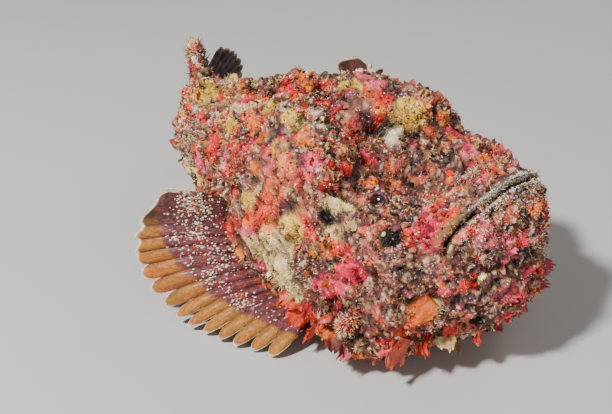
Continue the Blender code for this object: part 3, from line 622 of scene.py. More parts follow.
def relief(points):
    """How far the skin stands out of the smooth body: lumps, nodules, pits and folds.

    Each layer has its height in metres first, and its noise the size of a feature and a seed.
    """
    out = 0.0026 * waves(points, 0.024, 70, 2) + 0.0018 * waves(points, 0.010, 72)
    knob, tall = bumps(points, 0.0125, 75, 0.55)
    out += 0.0042 * np.clip(tall - 0.35, 0, 0.5) * 2 * knob
    crooked = points + 0.0015 * swirl(points, 0.0036, 54)
    out += 0.0011 * (1 - 2.4 * np.abs(waves(crooked, 0.0062, 63, 2)))
    nodule, number = bumps(crooked, 0.0068, 77, 0.60)
    out += 0.0017 * (number > 0.4) * nodule
    pimple, small = bumps(crooked, 0.0030, 83, 0.6)
    out += 0.0006 * pimple * (0.2 + 0.8 * small)
    hollow, deep = bumps(points, 0.0060, 89, 0.45)
    out -= 0.0040 * (deep > 0.64) * hollow
    crack, edge, _ = cells(points + 0.002 * waves(points, 0.006, 91, 2)[..., None], 0.0110, 95)
    out -= 0.0016 * hump(edge - crack, 0.10)
    out += 0.0006 * waves(points, 0.0026, 93)
    dent, chance = bumps(points, 0.0046, 99, 0.5)
    pits = 0.0026 * (chance > 0.3) * dent - 0.0008
    for spot in PITTED:
        out = out - pits * hump(away_from(points, spot), 1, 4)
    for line, width, height in FOLDS:
        out += height * MM * hump(line_distance(points, line), width * MM)
    return out


def solid_relief(points, normals, nodes):
    """How far the solids' warts stand out of the smooth body, flaps being left out."""
    reach, least, tallest, flap_foot = 0.012, 0.0004, 0.0062, 0.0012
    trees = [tree_of(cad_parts[node]) for node in nodes]
    height = np.zeros(len(points))
    for i, (point, normal) in enumerate(zip(points, normals)):
        start, way = Vector(point + normal * reach), Vector(-normal)
        best = reach
        for tree in trees:
            hit = tree.ray_cast(start, way, reach)[3]
            if hit is not None:
                best = min(best, hit)
        out = reach - best
        if out >= tallest:
            height[i] = flap_foot
        elif out > least:
            height[i] = out
    return height


def tree_of(obj):
    """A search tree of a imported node, whose place is in its mesh."""
    mesh = obj.data
    points = [obj.matrix_world @ v.co for v in mesh.vertices]
    return BVHTree.FromPolygons(points, [tuple(p.vertices) for p in mesh.polygons])


def blurred(values, passes):
    """A grid of numbers smoothed over its neighbours, closed round its second axis."""
    for _ in range(passes):
        around = (np.roll(values, 1, 1) + np.roll(values, -1, 1)) / 4 + values / 2
        padded = np.concatenate([around[:1], around, around[-1:]])
        values = (padded[:-2] + padded[2:]) / 4 + around / 2
    return values


def eye_centre(node):
    """The middle of a packed eye."""
    low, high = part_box(node)
    return (np.array(low) + np.array(high)) / 2


EYES = {"eye_right": eye_centre("eye_right"), "eye_left": eye_centre("eye_left")}
EYE_RADIUS = 0.0062
# The raised fold of skin round each eye: its radius and half width
EYE_FOLD = 0.0098
EYE_FOLD_WIDTH = 0.0026
# Painted shade darkening narrow and wide hollows, and painted light on ridges: how strongly, by metre,
# and over how many smoothing passes
NARROW_SHADE = 380
NARROW_PASSES = 14
WIDE_SHADE = 150
WIDE_PASSES = 60
UPPER_LIP = 0.0026
# The upper lip, the lower lip and the gap: place above the mouth line, half width and height
LIPS = ((UPPER_LIP, 0.0017, 0.0022), (-0.0030, 0.0017, 0.0012), (0, 0.0010, -0.0046))


def eye_distance(points):
    """Distances to the middle of the nearer eye."""
    return np.minimum(*(distance(points, centre) for centre in EYES.values()))


def skin_grid():
    """The skin's points as a grid, and its painted shading: low numbers darken its hollows with painted
    shade, numbers above one lighten its ridges with painted light.
    """
    behind = np.linspace(TAIL_ROOT_X, FACE_START_X, BODY_RINGS, endpoint=False)
    ahead = np.sin(np.pi / 2 * np.arange(FACE_RINGS + 1) / FACE_RINGS)
    stations = np.concatenate([behind, FACE_START_X + (SNOUT_X - FACE_START_X) * ahead])
    turns = 360 * np.arange(TURNS) / TURNS
    points, normals = skin_at(*np.meshgrid(stations, turns, indexing="ij"))
    warts = solid_relief(points.reshape(-1, 3), normals.reshape(-1, 3), ("head", "trunk", "tail"))
    out = blurred(warts.reshape(points.shape[:2]), 2) - COAT_DEPTH
    eye = eye_distance(points)
    quiet = rise(eye, EYE_RADIUS, 0.004)
    away, share = mouth_distance(points)
    face = near_mouth(points, share)
    lips = face * hump(away - 0.0016, 0.0052, 4)
    out = out * (1 - lips) + relief(points) * quiet * (1 - 0.92 * lips)
    for place, width, height in LIPS:
        out += face * height * hump(away - place, width)
    out -= 0.0012 * hump(eye, EYE_RADIUS, 4)
    out += 0.0020 * hump(eye - EYE_FOLD, EYE_FOLD_WIDTH)
    moved = points + normals * out[..., None]
    lift(moved, SKIN_GAP)
    narrow = np.minimum(out - blurred(out, NARROW_PASSES), 0.0006)
    wide = out - blurred(out, WIDE_PASSES)
    painted_shading = np.clip(1 + NARROW_SHADE * narrow, 0.07, 1.20)
    painted_shading *= np.clip(1 + WIDE_SHADE * wide, 0.30, 1.15)
    return moved, painted_shading


def make_skin():
    """The one skin that stands for the head, the jaw, the trunk and the tail."""
    points, painted_shading = skin_grid()
    # The markings darkened by painted shade in the hollows and lightened by painted light on the ridges
    colours = markings(points) * painted_shading[..., None]
    away, share = mouth_distance(points)
    face = near_mouth(points, share)
    lip = blend(linear("grey"), linear("olive"), rise(share, OLIVE_START, OLIVE_FADE))
    lip = lip * (0.85 + 0.35 * waves(points, 0.0012, 97))[..., None]
    on_lip = fall(np.abs(away - UPPER_LIP), UPPER_LIP, 0.0008)
    colours = blend(colours, lip, 0.9 * face * on_lip)
    # Painted shade along the mouth line, in the slit between the lips
    colours = blend(colours, 0, face * hump(away, 0.0011, 4))
    ends = [points[-1].mean(0), points[0].mean(0)]
    flat = np.concatenate([points[:-1].reshape(-1, 3), ends])
    tints = np.concatenate([colours[:-1].reshape(-1, 3), [colours[-1, -1], colours[0, 0]]])
    rows, columns = points.shape[0] - 1, points.shape[1]
    nose = rows * columns
    front = cap(nose - columns, columns, nose)
    rear = cap(0, columns, nose + 1)[:, [1, 0, 2]]
    obj = mesh_object("skin", flat, [grid_faces(rows, columns, True), front, rear], tints)
    return obj, Ground(points[:-1], painted_shading[:-1])


# The coat

class Ground:
    """A grid of the skin or of a fin, as the place where the coat grows."""

    def __init__(self, points, painted_shading=None, wrap=True):
        self.points = points
        self.painted_shading = np.ones(points.shape[:2]) if painted_shading is None else painted_shading
        self.normals = grid_normals(points, wrap)
        corner = points[:-1]
        one = points[1:] - corner
        other = np.roll(points, -1, 1)[:-1] - corner
        self.areas = np.linalg.norm(np.cross(one, other), axis=-1)
        if not wrap:
            self.areas[:, -1] = 0
        self.centres = (corner + points[1:] + other + corner) / 4

    def scatter(self, count, density, rng):
        """Roots, normals, unwrap places and painted shading, by area times a density at each cell."""
        weight = (self.areas * density).ravel()
        limits = np.cumsum(weight)
        picked = np.searchsorted(limits, rng.random(count) * limits[-1])
        columns = self.points.shape[1]
        i, k = picked // columns, picked % columns
        s, t = rng.random((2, count, 1))
        after = (k + 1) % columns

        def mixed(grid):
            one = grid[i, k] * (1 - s) + grid[i + 1, k] * s
            other = grid[i, after] * (1 - s) + grid[i + 1, after] * s
            return one * (1 - t) + other * t

        unwrap = stacked((i + s[:, 0]) / len(self.points), (k + t[:, 0]) / columns)
        return mixed(self.points), unit(mixed(self.normals)), unwrap, self.painted_shading[i, k]

    def nearest(self, place):
        """The point, normal and unwrap place of the skin nearest to a point in millimetres."""
        away = distance(self.points, np.array(place) * MM)
        i, k = np.unravel_index(np.argmin(away), away.shape)
        unwrap = np.array([i / len(self.points), k / self.points.shape[1]])
        return self.points[i, k], self.normals[i, k], unwrap


# How much of the unwrap one small shape of the coat takes
BAKE_PATCH = 0.003


def planted(name, shape, roots, normals, ways, sizes, tints, unwrap, rough=0.0, rng=None, shade=None):
    """One mesh of many copies of a small shape: z stands along the normal and y along the way."""
    verts, faces = shape
    across = unit(np.cross(ways, normals))
    along = np.cross(normals, across)
    basis = np.stack([across, along, normals], 1)
    local = verts[None] * sizes[:, None, :]
    if rough:
        local = local * (1 + rough * rng.standard_normal(local.shape[:2] + (1,)))
    points = roots[:, None] + np.einsum("nvi,nij->nvj", local, basis)
    lift(points, COAT_GAP)
    # The shade of each point of the shape is painted shading: painted shade at the foot of each copy,
    # painted light towards its top or tip
    light = np.ones(len(verts)) if shade is None else shade
    colours = np.clip(tints[:, None, :] * light[None, :, None], 0, 1)
    spread = np.ptp(verts[:, :2], axis=0).max()
    patch = (verts[:, :2] - verts[:, :2].mean(0)) / spread * BAKE_PATCH
    bake = np.clip(unwrap[:, None] + patch[None], 0, 1)
    shift = (np.arange(len(roots)) * len(verts))[:, None, None]
    parts = [(part[None] + shift).reshape(-1, part.shape[1]) for part in faces]
    return mesh_object(
        name, points.reshape(-1, 3), parts, colours.reshape(-1, 3), bake.reshape(-1, 2)
    )


def dome(sides, levels):
    """A dome without a floor: rings of (radius, height) and a top."""
    turn = ring_turns(sides)
    rings = [
        stacked(radius * np.cos(turn), radius * np.sin(turn), height)
        for radius, height in levels[:-1]
    ]
    verts = np.concatenate(rings + [[(0, 0, levels[-1][1])]])
    top = cap((len(rings) - 1) * sides, sides, len(verts) - 1)
    return verts, [grid_faces(len(rings), sides, True), top]


LUMP = dome(6, ((1.0, -0.25), (0.95, 0.25), (0.62, 0.70), (0, 0.82)))
GRAIN = dome(5, ((1.0, -0.2), (0.75, 0.6), (0, 0.9)))
BEAD = dome(4, ((1.0, -0.2), (0, 1.0)))
STUD = dome(6, ((1.0, -0.2), (0.7, 0.65), (0, 0.9)))


def finger(sides, rings, bend):
    """A tapering finger that bends towards y, one unit long."""
    t = np.linspace(0, 1, rings)[:, None]
    turn = ring_turns(sides)
    radius = 0.13 * (1 - 0.72 * t)
    points = stacked(radius * np.cos(turn), radius * np.sin(turn) + bend * t**2, t - 0.1)
    verts = np.concatenate([points.reshape(-1, 3), [(0, bend * 1.15, 1.0)]])
    top = cap((rings - 1) * sides, sides, len(verts) - 1)
    return verts, [grid_faces(rings, sides, True), top]


def bush(blades, rng):
    """A tuft of thin bent blades from one root, one unit long."""
    verts, quads, tops, start = [], [], [], 0
    for _ in range(blades):
        points, (sides, top) = finger(3, 3, rng.uniform(0.1, 0.5))
        points = points * (0.8, 0.8, rng.uniform(0.55, 1.0))
        lean, turn = rng.uniform(0.1, 0.85), rng.uniform(0, 2 * np.pi)
        c, s = math.cos(lean), math.sin(lean)
        y = points[:, 1] * c + points[:, 2] * s
        z = points[:, 2] * c - points[:, 1] * s
        c, s = math.cos(turn), math.sin(turn)
        points = stacked(points[:, 0] * c - y * s, points[:, 0] * s + y * c, z)
        verts.append(points)
        quads.append(sides + start)
        tops.append(top + start)
        start += len(points)
    return np.concatenate(verts), [np.concatenate(quads), np.concatenate(tops)]


def leaf(columns, rows, lobes, rng, cup=0.25):
    """A ragged flap lying along y, one unit long and wide, with lobes at its end."""
    v = np.linspace(-0.5, 0.5, columns)[None, :]
    u = np.linspace(0, 1, rows)[:, None]
    teeth = np.abs(np.sin(np.pi * lobes * (v + 0.5))) ** 0.8
    lengths = rng.uniform(0.35, 1.0, lobes + 1)[np.floor((v + 0.4999) * lobes).astype(int)]
    reach = 0.62 + 0.38 * teeth * lengths - 0.6 * v**2 + 0.03 * rng.standard_normal((1, columns))
    width = (0.62 + 0.55 * u) * (1 - 0.25 * u**4)
    x = v * width + 0.02 * rng.standard_normal((rows, columns)) * u
    y = u * reach - 0.12
    z = cup * u**2 * reach - 0.5 * v**2 * u + 0.05 * np.sin(9 * v + 5 * u) * u
    thick = 0.055 * (1 - 0.7 * u) * (1 - 0.6 * (2 * v) ** 4) + 0.006
    # Painted shade at the root of the flap, giving way to painted light towards its lobes
    shade = np.tile((0.62 + 0.55 * np.broadcast_to(u, (rows, columns))).ravel(), 2)
    return two_faced(stacked(x, y, z + thick), stacked(x, y, z - thick)), shade


def varied(colours, rng, spread):
    """Colours each made a little lighter or darker."""
    return np.clip(colours * np.exp(spread * rng.standard_normal((len(colours), 1))), 0, 1)


def accented(colours, rng, shares, chance):
    """Some of the colours replaced by others drawn from named shares."""
    other = choose(shares, rng.random(len(colours)))
    return np.where(rng.random((len(colours), 1)) < chance, other, colours)


def drawn_sizes(low, high, count, rng):
    """Sizes drawn between two, each doubling being as likely as the next."""
    return np.exp(rng.uniform(math.log(low), math.log(high), count))


BRIGHT = (
    ("red", 20), ("flame", 14), ("orange", 13), ("magenta", 12), ("pale", 9), ("cream", 12),
    ("salmon", 10), ("pink", 6), ("maroon", 12),
)
SALT = (("white", 8), ("pale", 16), ("cream", 18), ("dark", 28), ("maroon", 14), ("tan", 16))
# How far the coat stays off the eyeballs, and off the mouth line below and above it
EYE_MARGIN = 0.0006
BARE_BELOW = -0.0018
BARE_ABOVE = 0.0054
# Where specks start behind the snout, how far they spread from the mouth line, and how far along it
# from its middle, in half mouths
FROST_START_X = 0.080
FROST_WIDTH = 0.014
FROST_END = 1.3


def coat_density(ground):
    """Where coat may grow: off the eyes, the mouth line and the floor."""
    places = ground.centres
    clear = rise(places[..., 2], 0.0015, 0.004) * (eye_distance(places) > EYE_RADIUS + EYE_MARGIN)
    away, share = mouth_distance(places)
    lips = (places[..., 0] > 0.09) & (share < LIPS_END) & (away > BARE_BELOW) & (away < BARE_ABOVE)
    return clear * ~lips


def frosted(places):
    """Where white specks crowd: round the mouth and chin, and on the cream patches."""
    away, share = mouth_distance(places)
    mouth = (places[..., 0] > FROST_START_X) * hump(away, FROST_WIDTH) * (share < FROST_END)
    pale = [spot for spot in PATCHES if spot[4] in ("cream", "tan")]
    spots = sum(hump(away_from(places, spot), 1) for spot in pale)
    patchy = smooth(waves(places, 0.020, 131, 2) * 1.5)
    return 0.05 + 1.9 * mouth + 1.0 * np.minimum(spots, 1) + 0.7 * patchy**2


def smoothed_patches(places):
    """Where the skin shows smooth between its crusts, as on most of its bright patches."""
    bare = smooth(waves(places, 0.019, 137, 2) * 3 - 0.9)
    for spot in PATCHES:
        if spot[4] not in CRUSTED:
            bare = np.maximum(bare, hump(away_from(places, spot), 1, 4))
    return bare


# Large flaps of the side that the photograph shows, in millimetres: root x, y, z, the way that it
# points, length, width, number of lobes, and colour
SHOWN_FLAPS = (
    (24, -80, 44, (-0.6, -0.5, -0.6), 15, 13, 4, "flame"),
    (36, -80, 44, (-0.3, -0.5, -0.8), 13, 12, 3, "red"),
    (14, -78, 32, (-0.6, -0.6, -0.5), 15, 14, 4, "orange"),
    (28, -80, 30, (-0.4, -0.6, -0.6), 17, 15, 5, "flame"),
    (42, -80, 30, (-0.1, -0.6, -0.8), 14, 13, 3, "orange"),
    (34, -77, 16, (-0.4, -0.8, -0.3), 14, 15, 4, "flame"),
    (20, -76, 18, (-0.6, -0.7, -0.3), 12, 12, 3, "red"),
    (50, -80, 40, (-0.2, -0.5, -0.8), 12, 9, 3, "flame"),
    (55, -78, 24, (0.0, -0.7, -0.6), 16, 14, 4, "maroon"),
    (64, -76, 22, (0.1, -0.7, -0.6), 13, 10, 3, "pink"),
    (70, -75, 44, (0.1, -0.6, -0.8), 10, 10, 3, "maroon"),
    (97, -58, 60, (-0.5, -0.6, -0.6), 22, 24, 3, "orange"),
    (90, -64, 40, (-0.2, -0.7, -0.6), 14, 18, 4, "flame"),
    (92, -62, 30, (-0.25, -0.6, -0.7), 26, 26, 3, "salmon"),
    (100, -54, 26, (0.3, -0.6, -0.7), 15, 14, 4, "flame"),
    (108, -46, 22, (0.4, -0.6, -0.6), 14, 14, 5, "cream"),
    (114, -38, 18, (0.5, -0.5, -0.6), 12, 13, 5, "tan"),
    (121, -26, 26, (0.7, -0.4, -0.5), 10, 9, 3, "red"),
    (122, -14, 28, (0.8, -0.2, -0.5), 10, 9, 3, "pink"),
    (126, 2, 34, (0.8, 0.0, -0.5), 10, 9, 3, "salmon"),
    (129, 10, 52, (0.9, 0.3, -0.1), 11, 8, 4, "pink"),
    (128, 20, 60, (0.8, 0.5, -0.1), 10, 7, 4, "pink"),
    (128, -12, 56, (0.9, -0.2, -0.3), 7, 7, 3, "maroon"),
    (18, 46, 122, (0.1, 0.3, 0.9), 8, 7, 4, "cream"),
    (26, 50, 119, (0.3, 0.4, 0.8), 8, 6, 5, "red"),
    (34, 54, 114, (0.4, 0.5, 0.7), 7, 6, 4, "cream"),
    (26, 38, 117, (0.4, 0.1, 0.9), 6, 6, 4, "tan"),
    (60, 52, 100, (0.3, 0.8, 0.5), 6, 6, 3, "maroon"),
    (84, 44, 102, (0.4, 0.7, 0.6), 5, 5, 3, "tan"),
    (-126, -10, 98, (-0.4, -0.6, 0.6), 7, 7, 3, "red"),
    (-120, -16, 88, (-0.5, -0.8, 0.1), 7, 8, 3, "flame"),
    (-104, -24, 86, (-0.4, -0.8, 0.2), 7, 9, 3, "magenta"),
)
HIDDEN_FLAPS = 46
# Flaps further off the middle plane than this, in millimetres, and ahead of the tail, grow on both
# sides
PAIRED_Y = 12
PAIRED_X = -100
# How far the flaps of the left side are moved off their mirrored places, in millimetres
FLAP_JITTER = 2.5
# Where spiky fronds crowd, in millimetres: x, y, z and radius
FROND_SPOTS = (
    (30, 48, 116, 9), (22, 36, 119, 8), (60, 48, 101, 6), (130, 14, 58, 9), (128, -10, 50, 8),
    (-142, 1, 130, 7), (-126, -12, 96, 7), (54, -79, 34, 9), (108, -44, 26, 9), (10, 60, 110, 9),
)
SKIRT_TOP_Z = 0.046


def flap_rows(ground, rng):
    """Every large flap as root, skin normal, direction, length, width, lobes, colour, unwrap."""
    rows = []
    for x, y, z, way, length, width, lobes, name in SHOWN_FLAPS:
        sides = (1, -1) if abs(y) > PAIRED_Y and x > PAIRED_X else (1,)
        for side in sides:
            jitter = rng.uniform(-FLAP_JITTER, FLAP_JITTER, 3) * (side < 0)
            place = np.array((x, y * side, z)) + jitter
            root, normal, unwrap = ground.nearest(place)
            heading = unit(np.array(way) * (1, side, 1) + 0.15 * rng.standard_normal(3))
            size = rng.uniform(0.9, 1.1)
            rows.append((root, normal, heading, length * size, width * size, lobes, name, unwrap))
    low = rise(ground.centres[..., 2], 0.008, 0.004)
    low = low * (ground.centres[..., 2] < SKIRT_TOP_Z) * (np.abs(ground.centres[..., 1]) > 0.02)
    low = low + 0.25 * (ground.centres[..., 0] < -0.03) * (ground.centres[..., 2] > 0.05)
    names = [name for name, share in BRIGHT for _ in range(share)]
    roots, normals, unwraps, _ = ground.scatter(HIDDEN_FLAPS, coat_density(ground) * low, rng)
    for root, normal, unwrap in zip(roots, normals, unwraps):
        heading = unit(normal + (-0.5, 0, -0.5 if root[2] < 0.05 else 0.3))
        length = rng.uniform(7, 13)
        name = names[rng.integers(len(names))]
        rows.append((root, normal, heading, length, length * rng.uniform(0.7, 1.1),
                     rng.integers(2, 6), name, unwrap))
    return rows


def make_flaps(ground):
    """The ragged flaps of the lower edge, chin, brow and tail as one piece."""
    rng = np.random.default_rng(SEED + 1)
    points, faces, tints, bakes, start = [], [], [], [], 0
    for root, normal, heading, length, width, lobes, name, unwrap in flap_rows(ground, rng):
        cup = rng.uniform(0.1, 0.45)
        (verts, parts), shade = leaf(columns=17, rows=12, lobes=lobes, rng=rng, cup=cup)
        face = unit(normal - heading * (normal @ heading))
        across = np.cross(heading, face)
        sizes = np.array((width, length, length)) * MM
        placed = root - heading * 0.002 + (verts * sizes) @ np.array([across, heading, face])
        wrinkle = waves(placed, 0.0035, 141, 2) * 0.0006 + waves(placed, 0.0012, 143) * 0.0002
        placed = placed + face * wrinkle[:, None]
        patchy = 0.22 + 0.25 * waves(placed, 0.004, 145)
        colour = blend(linear(name), markings(placed), patchy)
        streak = waves(verts * (20, 2, 0), 1.0, 147)
        # The leaf's painted shade at the root and painted light towards the lobes, with its own streaks
        colour = colour * (0.9 * shade * (1 + 0.42 * streak))[:, None]
        placed = placed + face * (0.0007 * streak * smooth(verts[:, 1] * 3))[:, None]
        lift(placed, FLAP_GAP)
        colour = blend(colour, linear("pale"), 0.55 * rise(verts[:, 1], 0.80, 0.12))
        points.append(placed)
        tints.append(np.clip(colour, 0, 1))
        bakes.append(np.clip(unwrap + (verts[:, :2] - 0.4) * BAKE_PATCH, 0, 1))
        faces += [part + start for part in parts]
        start += len(verts)
    return mesh_object("flaps", np.concatenate(points), faces, np.concatenate(tints),
                       np.concatenate(bakes))


def make_coat(ground):
    """Everything small that grows on the skin, as joined meshes."""
    rng = np.random.default_rng(SEED)
    open_skin = coat_density(ground)
    pieces = []

    def plant(name, shape, count, low, high, tall, chance, shares, density, stand=None, **more):
        """Adds a piece: so many copies, of sizes low to high, so tall for their size, a chance of
        them in colours of their own, where the density says; stand sets flat ones on edge."""
        roots, normals, unwrap, painted_shading = ground.scatter(count, open_skin * density, rng)
        size = drawn_sizes(low, high, count, rng)
        stretch = rng.uniform(0.75, 1.3, (count, 2))
        height = rng.uniform(*tall, count)
        sizes = stacked(size * stretch[:, 0], size * stretch[:, 1], size * height)
        tints = varied(accented(markings(roots), rng, shares, chance), rng, 0.25)
        # Each copy takes the skin's painted shade at its root, deepened
        tints = tints * (0.08 + 0.92 * painted_shading[:, None] ** 1.3)
        tilted = unit(normals + 0.28 * rng.standard_normal(normals.shape))
        headings = unit(rng.standard_normal((count, 3)) + (-0.6, 0, -0.6))
        if stand is not None:
            lying = np.cross(np.cross(tilted, headings), tilted)
            headings = unit(lying * (1 - stand) + tilted * stand)
            tilted = unit(tilted - headings * np.sum(tilted * headings, -1, keepdims=True))
        pieces.append(planted(name, shape, roots, tilted, headings, sizes, tints, unwrap,
                              rng=rng, **more))

    crowd = 0.25 + 1.5 * smooth(0.5 + 1.6 * waves(ground.centres, 0.012, 133, 2))
    bare = 1 - 0.9 * smoothed_patches(ground.centres)
    frost = frosted(ground.centres)
    # The shade lists of the lumps, grains, fingers, tufts, fronds and frills paint shade at their feet
    # and light at their tops
    plant("lumps", LUMP, 3200, 0.0005, 0.0015, (0.3, 0.75), 0.04, SALT, crowd * bare,
          rough=0.22, shade=np.repeat((0.45, 0.8, 1.1, 1.15), (6, 6, 6, 1)))
    for number in (1, 2):
        plant("grains_%d" % number, GRAIN, 12000, 0.00026, 0.0008, (0.6, 1.4), 0.24, SALT,
              crowd * (0.12 + 0.88 * bare), rough=0.2, shade=np.repeat((0.45, 1.0, 1.2), (5, 5, 1)))
    plant("specks", BEAD, 17000, 0.00022, 0.00055, (0.6, 1.6), 0.95,
          (("white", 50), ("pale", 30), ("cream", 20)), frost * (0.15 + 0.85 * bare), rough=0.15)
    plant("fingers", finger(4, 4, 0.35), 3800, 0.0010, 0.0030, (0.8, 1.5), 0.45,
          (("cream", 34), ("pale", 30), ("tan", 20), ("orange", 8), ("red", 8)),
          crowd * frost * (0.2 + 0.8 * bare),
          shade=np.repeat((0.5, 0.8, 1.1, 1.3, 1.4), (4, 4, 4, 4, 1)))
    for number in (1, 2, 3):
        shape = bush(7, rng)
        plant("tufts_%d" % number, shape, 950, 0.0015, 0.0040, (0.7, 1.2), 0.42,
              (("tan", 30), ("cream", 22), ("brown", 24), ("olive", 8), ("maroon", 16)),
              crowd * bare, shade=0.45 + 0.85 * np.clip(shape[0][:, 2], 0, 1))
    spots = sum(hump(away_from(ground.centres, spot), 1, 4) for spot in FROND_SPOTS)
    shape = bush(9, rng)
    plant("fronds", shape, 190, 0.0038, 0.0080, (0.8, 1.3), 0.7,
          (("cream", 24), ("pale", 20), ("red", 22), ("orange", 14), ("pink", 20)), spots,
          shade=0.5 + 0.8 * np.clip(shape[0][:, 2], 0, 1))
    above = rise(ground.centres[..., 2], 0.004, 0.006)
    for number, lobes in ((1, 2), (2, 3), (3, 4), (4, 2)):
        shape, shade = leaf(9, 6, lobes, rng, cup=rng.uniform(0.2, 0.6))
        plant("frills_%d" % number, shape, 230, 0.0022, 0.0056, (0.7, 1.2), 0.25, BRIGHT,
              crowd * above * (0.35 + 0.65 * bare), stand=0.42, rough=0.08, shade=shade)
    return pieces


# Fins

# A fin's middle surface, its normals and half thickness, the places u along and v across it, how
# near a ray each point lies and how far along its ray, all as grids
Fan = namedtuple("Fan", "centre normal half u v high share")


def fin_surface(root, tip, rays, rows, membrane, ridge, notch, bulge=None, per_ray=10, wave=0.0,
                scallop=None, even=0.0):
    """The grids of a fin between its root and its tip, both functions of the place across it.

    The edge is cut in by the notch between the rays and waves by the scallop; rays fade into a
    smooth sheet where the place across is less than even.
    """
    v = np.arange(rays * per_ray + 1) / (rays * per_ray)
    within = (np.arange(rays * per_ray + 1) % per_ray) / per_ray
    high = np.sin(np.pi * within) ** 0.7
    j = np.linspace(0, 1, rows + 1)[:, None]
    high = high * smooth((v - even + 0.12) / 0.12) if even else high
    reach = 1 - notch(v) * (1 - high**0.8) - (scallop(v) if scallop else 0)
    u, vv = j * reach, np.broadcast_to(v, (rows + 1, len(v)))

    def middle(u, v):
        point = root(v) + (tip(v) - root(v)) * u[..., None]
        return point + bulge(u, v) if bulge else point

    step = 1e-3
    centre = middle(u, vv)
    along = middle(u + step, vv) - middle(u - step, vv)
    across = middle(u, np.minimum(1, vv + step)) - middle(u, np.maximum(0, vv - step))
    normal = unit(np.cross(along, across))
    centre = centre + normal * (wave * u**3 * np.sin(vv * rays * 2.1))[..., None]
    round_end = np.sqrt(np.clip(1 - j**14, 0, 1))
    half = (membrane + ridge * high) * (1 - 0.45 * j**1.5) * round_end / 2 + 0.0002
    high, j = np.broadcast_to(high, u.shape), np.broadcast_to(j, u.shape)
    return Fan(centre, normal, half, u, vv, high, j)


def rows_of(table, side=1):
    """A function giving the points of a smooth line through (share, x, y, z) rows, on one side."""
    mirror = np.array((1, side, 1))
    return lambda v: stacked(*(through(table, column, v) for column in (1, 2, 3))) * mirror


def fin_object(name, fan, colour, curled=False):
    """One closed fin, and each of its two faces as a grid."""
    thickness = fan.normal * fan.half[..., None]
    upper, lower = fan.centre + thickness, fan.centre - thickness
    if curled:
        upper, lower = posed(upper), posed(lower)
    for face in (upper, lower):
        lift(face, FIN_GAP)
    points, faces = two_faced(upper, lower)
    tint = colour(fan).reshape(-1, 3)
    obj = mesh_object(name, points, faces, np.concatenate([tint, tint]))
    return obj, upper[:, ::-1], lower


PECTORAL_ROOT = (
    (0.00, -0.042, 0.060, 0.070),
    (0.35, -0.030, 0.062, 0.044),
    (0.70, -0.006, 0.058, 0.020),
    (1.00, 0.030, 0.052, 0.010),
)
PECTORAL_TIP = (
    (0.00, -0.064, 0.098, 0.088),
    (0.20, -0.080, 0.108, 0.064),
    (0.40, -0.078, 0.114, 0.034),
    (0.60, -0.050, 0.112, 0.008),
    (0.80, -0.014, 0.106, 0.003),
    (1.00, 0.024, 0.094, 0.002),
)
# The same fin of the left side, which the fish holds a little higher
PECTORAL_TIP_LEFT = (
    (0.00, -0.046, 0.079, 0.115),
    (0.10, -0.070, 0.088, 0.112),
    (0.20, -0.089, 0.095, 0.098),
    (0.40, -0.090, 0.110, 0.056),
    (0.60, -0.054, 0.112, 0.012),
    (0.80, -0.014, 0.106, 0.003),
    (1.00, 0.024, 0.094, 0.002),
)
PECTORAL_RAYS = 17
STUDS = 1300


def pectoral_colours(fan):
    """Maroon with a tan outer band of finger-like rays, painted shade in the grooves between them and
    pale ends.
    """
    u, v, points = fan.u, fan.v, fan.centre
    along = stacked(u * 24, v * 130, 0)
    colour = choose(
        (("maroon", 38), ("purple", 16), ("red", 3), ("mauve", 33), ("brown", 10)),
        cells(along, 1.0, 101)[2],
    )
    colour = blend(colour, linear("mauve") * 0.5 + linear("maroon") * 0.5, 0.35)
    colour = colour * (1.1 + 0.45 * waves(points, 0.004, 103, 2))[..., None]
    band = 0.68 - 0.16 * rise(v, 0.2, 0.4) + 0.34 * hump(v, 0.15)
    outer = smooth((u - band + 0.04 * waves(points, 0.004, 105)) / 0.05)
    streaks = 0.16 + 0.4 * waves(along * (0.15, 1.0, 1), 1.0, 107, 2)
    streaks = streaks * (1 - 0.7 * smooth(v * 2 - 0.6))
    rays = blend(linear("ray"), linear("flame"), streaks)
    rays = rays * (0.85 + 0.35 * waves(along * (0.4, 1, 1), 1.6, 109, 2))[..., None]
    colour = blend(colour, rays, outer)
    # Painted shade in the grooves between the rays, deepest in the outer band
    between_ray_shade = (1 - fan.high) ** 2
    colour = colour * (1 - 0.85 * between_ray_shade * outer - 0.40 * between_ray_shade * (1 - outer))[..., None]
    edge = rise(fan.share, 0.945 + 0.022 * rise(v, 0.3, 0.2), 0.02)
    first_ray = fall(v, 0.024, 0.008) * rise(u, 0.35, 0.2)
    ray_ends = 0.8 * rise(fan.share * u, 0.90, 0.06) * rise(v, 0.4, 0.1)
    pale = np.maximum(np.maximum(edge, first_ray), ray_ends)
    return blend(colour, linear("pale"), 0.95 * pale)


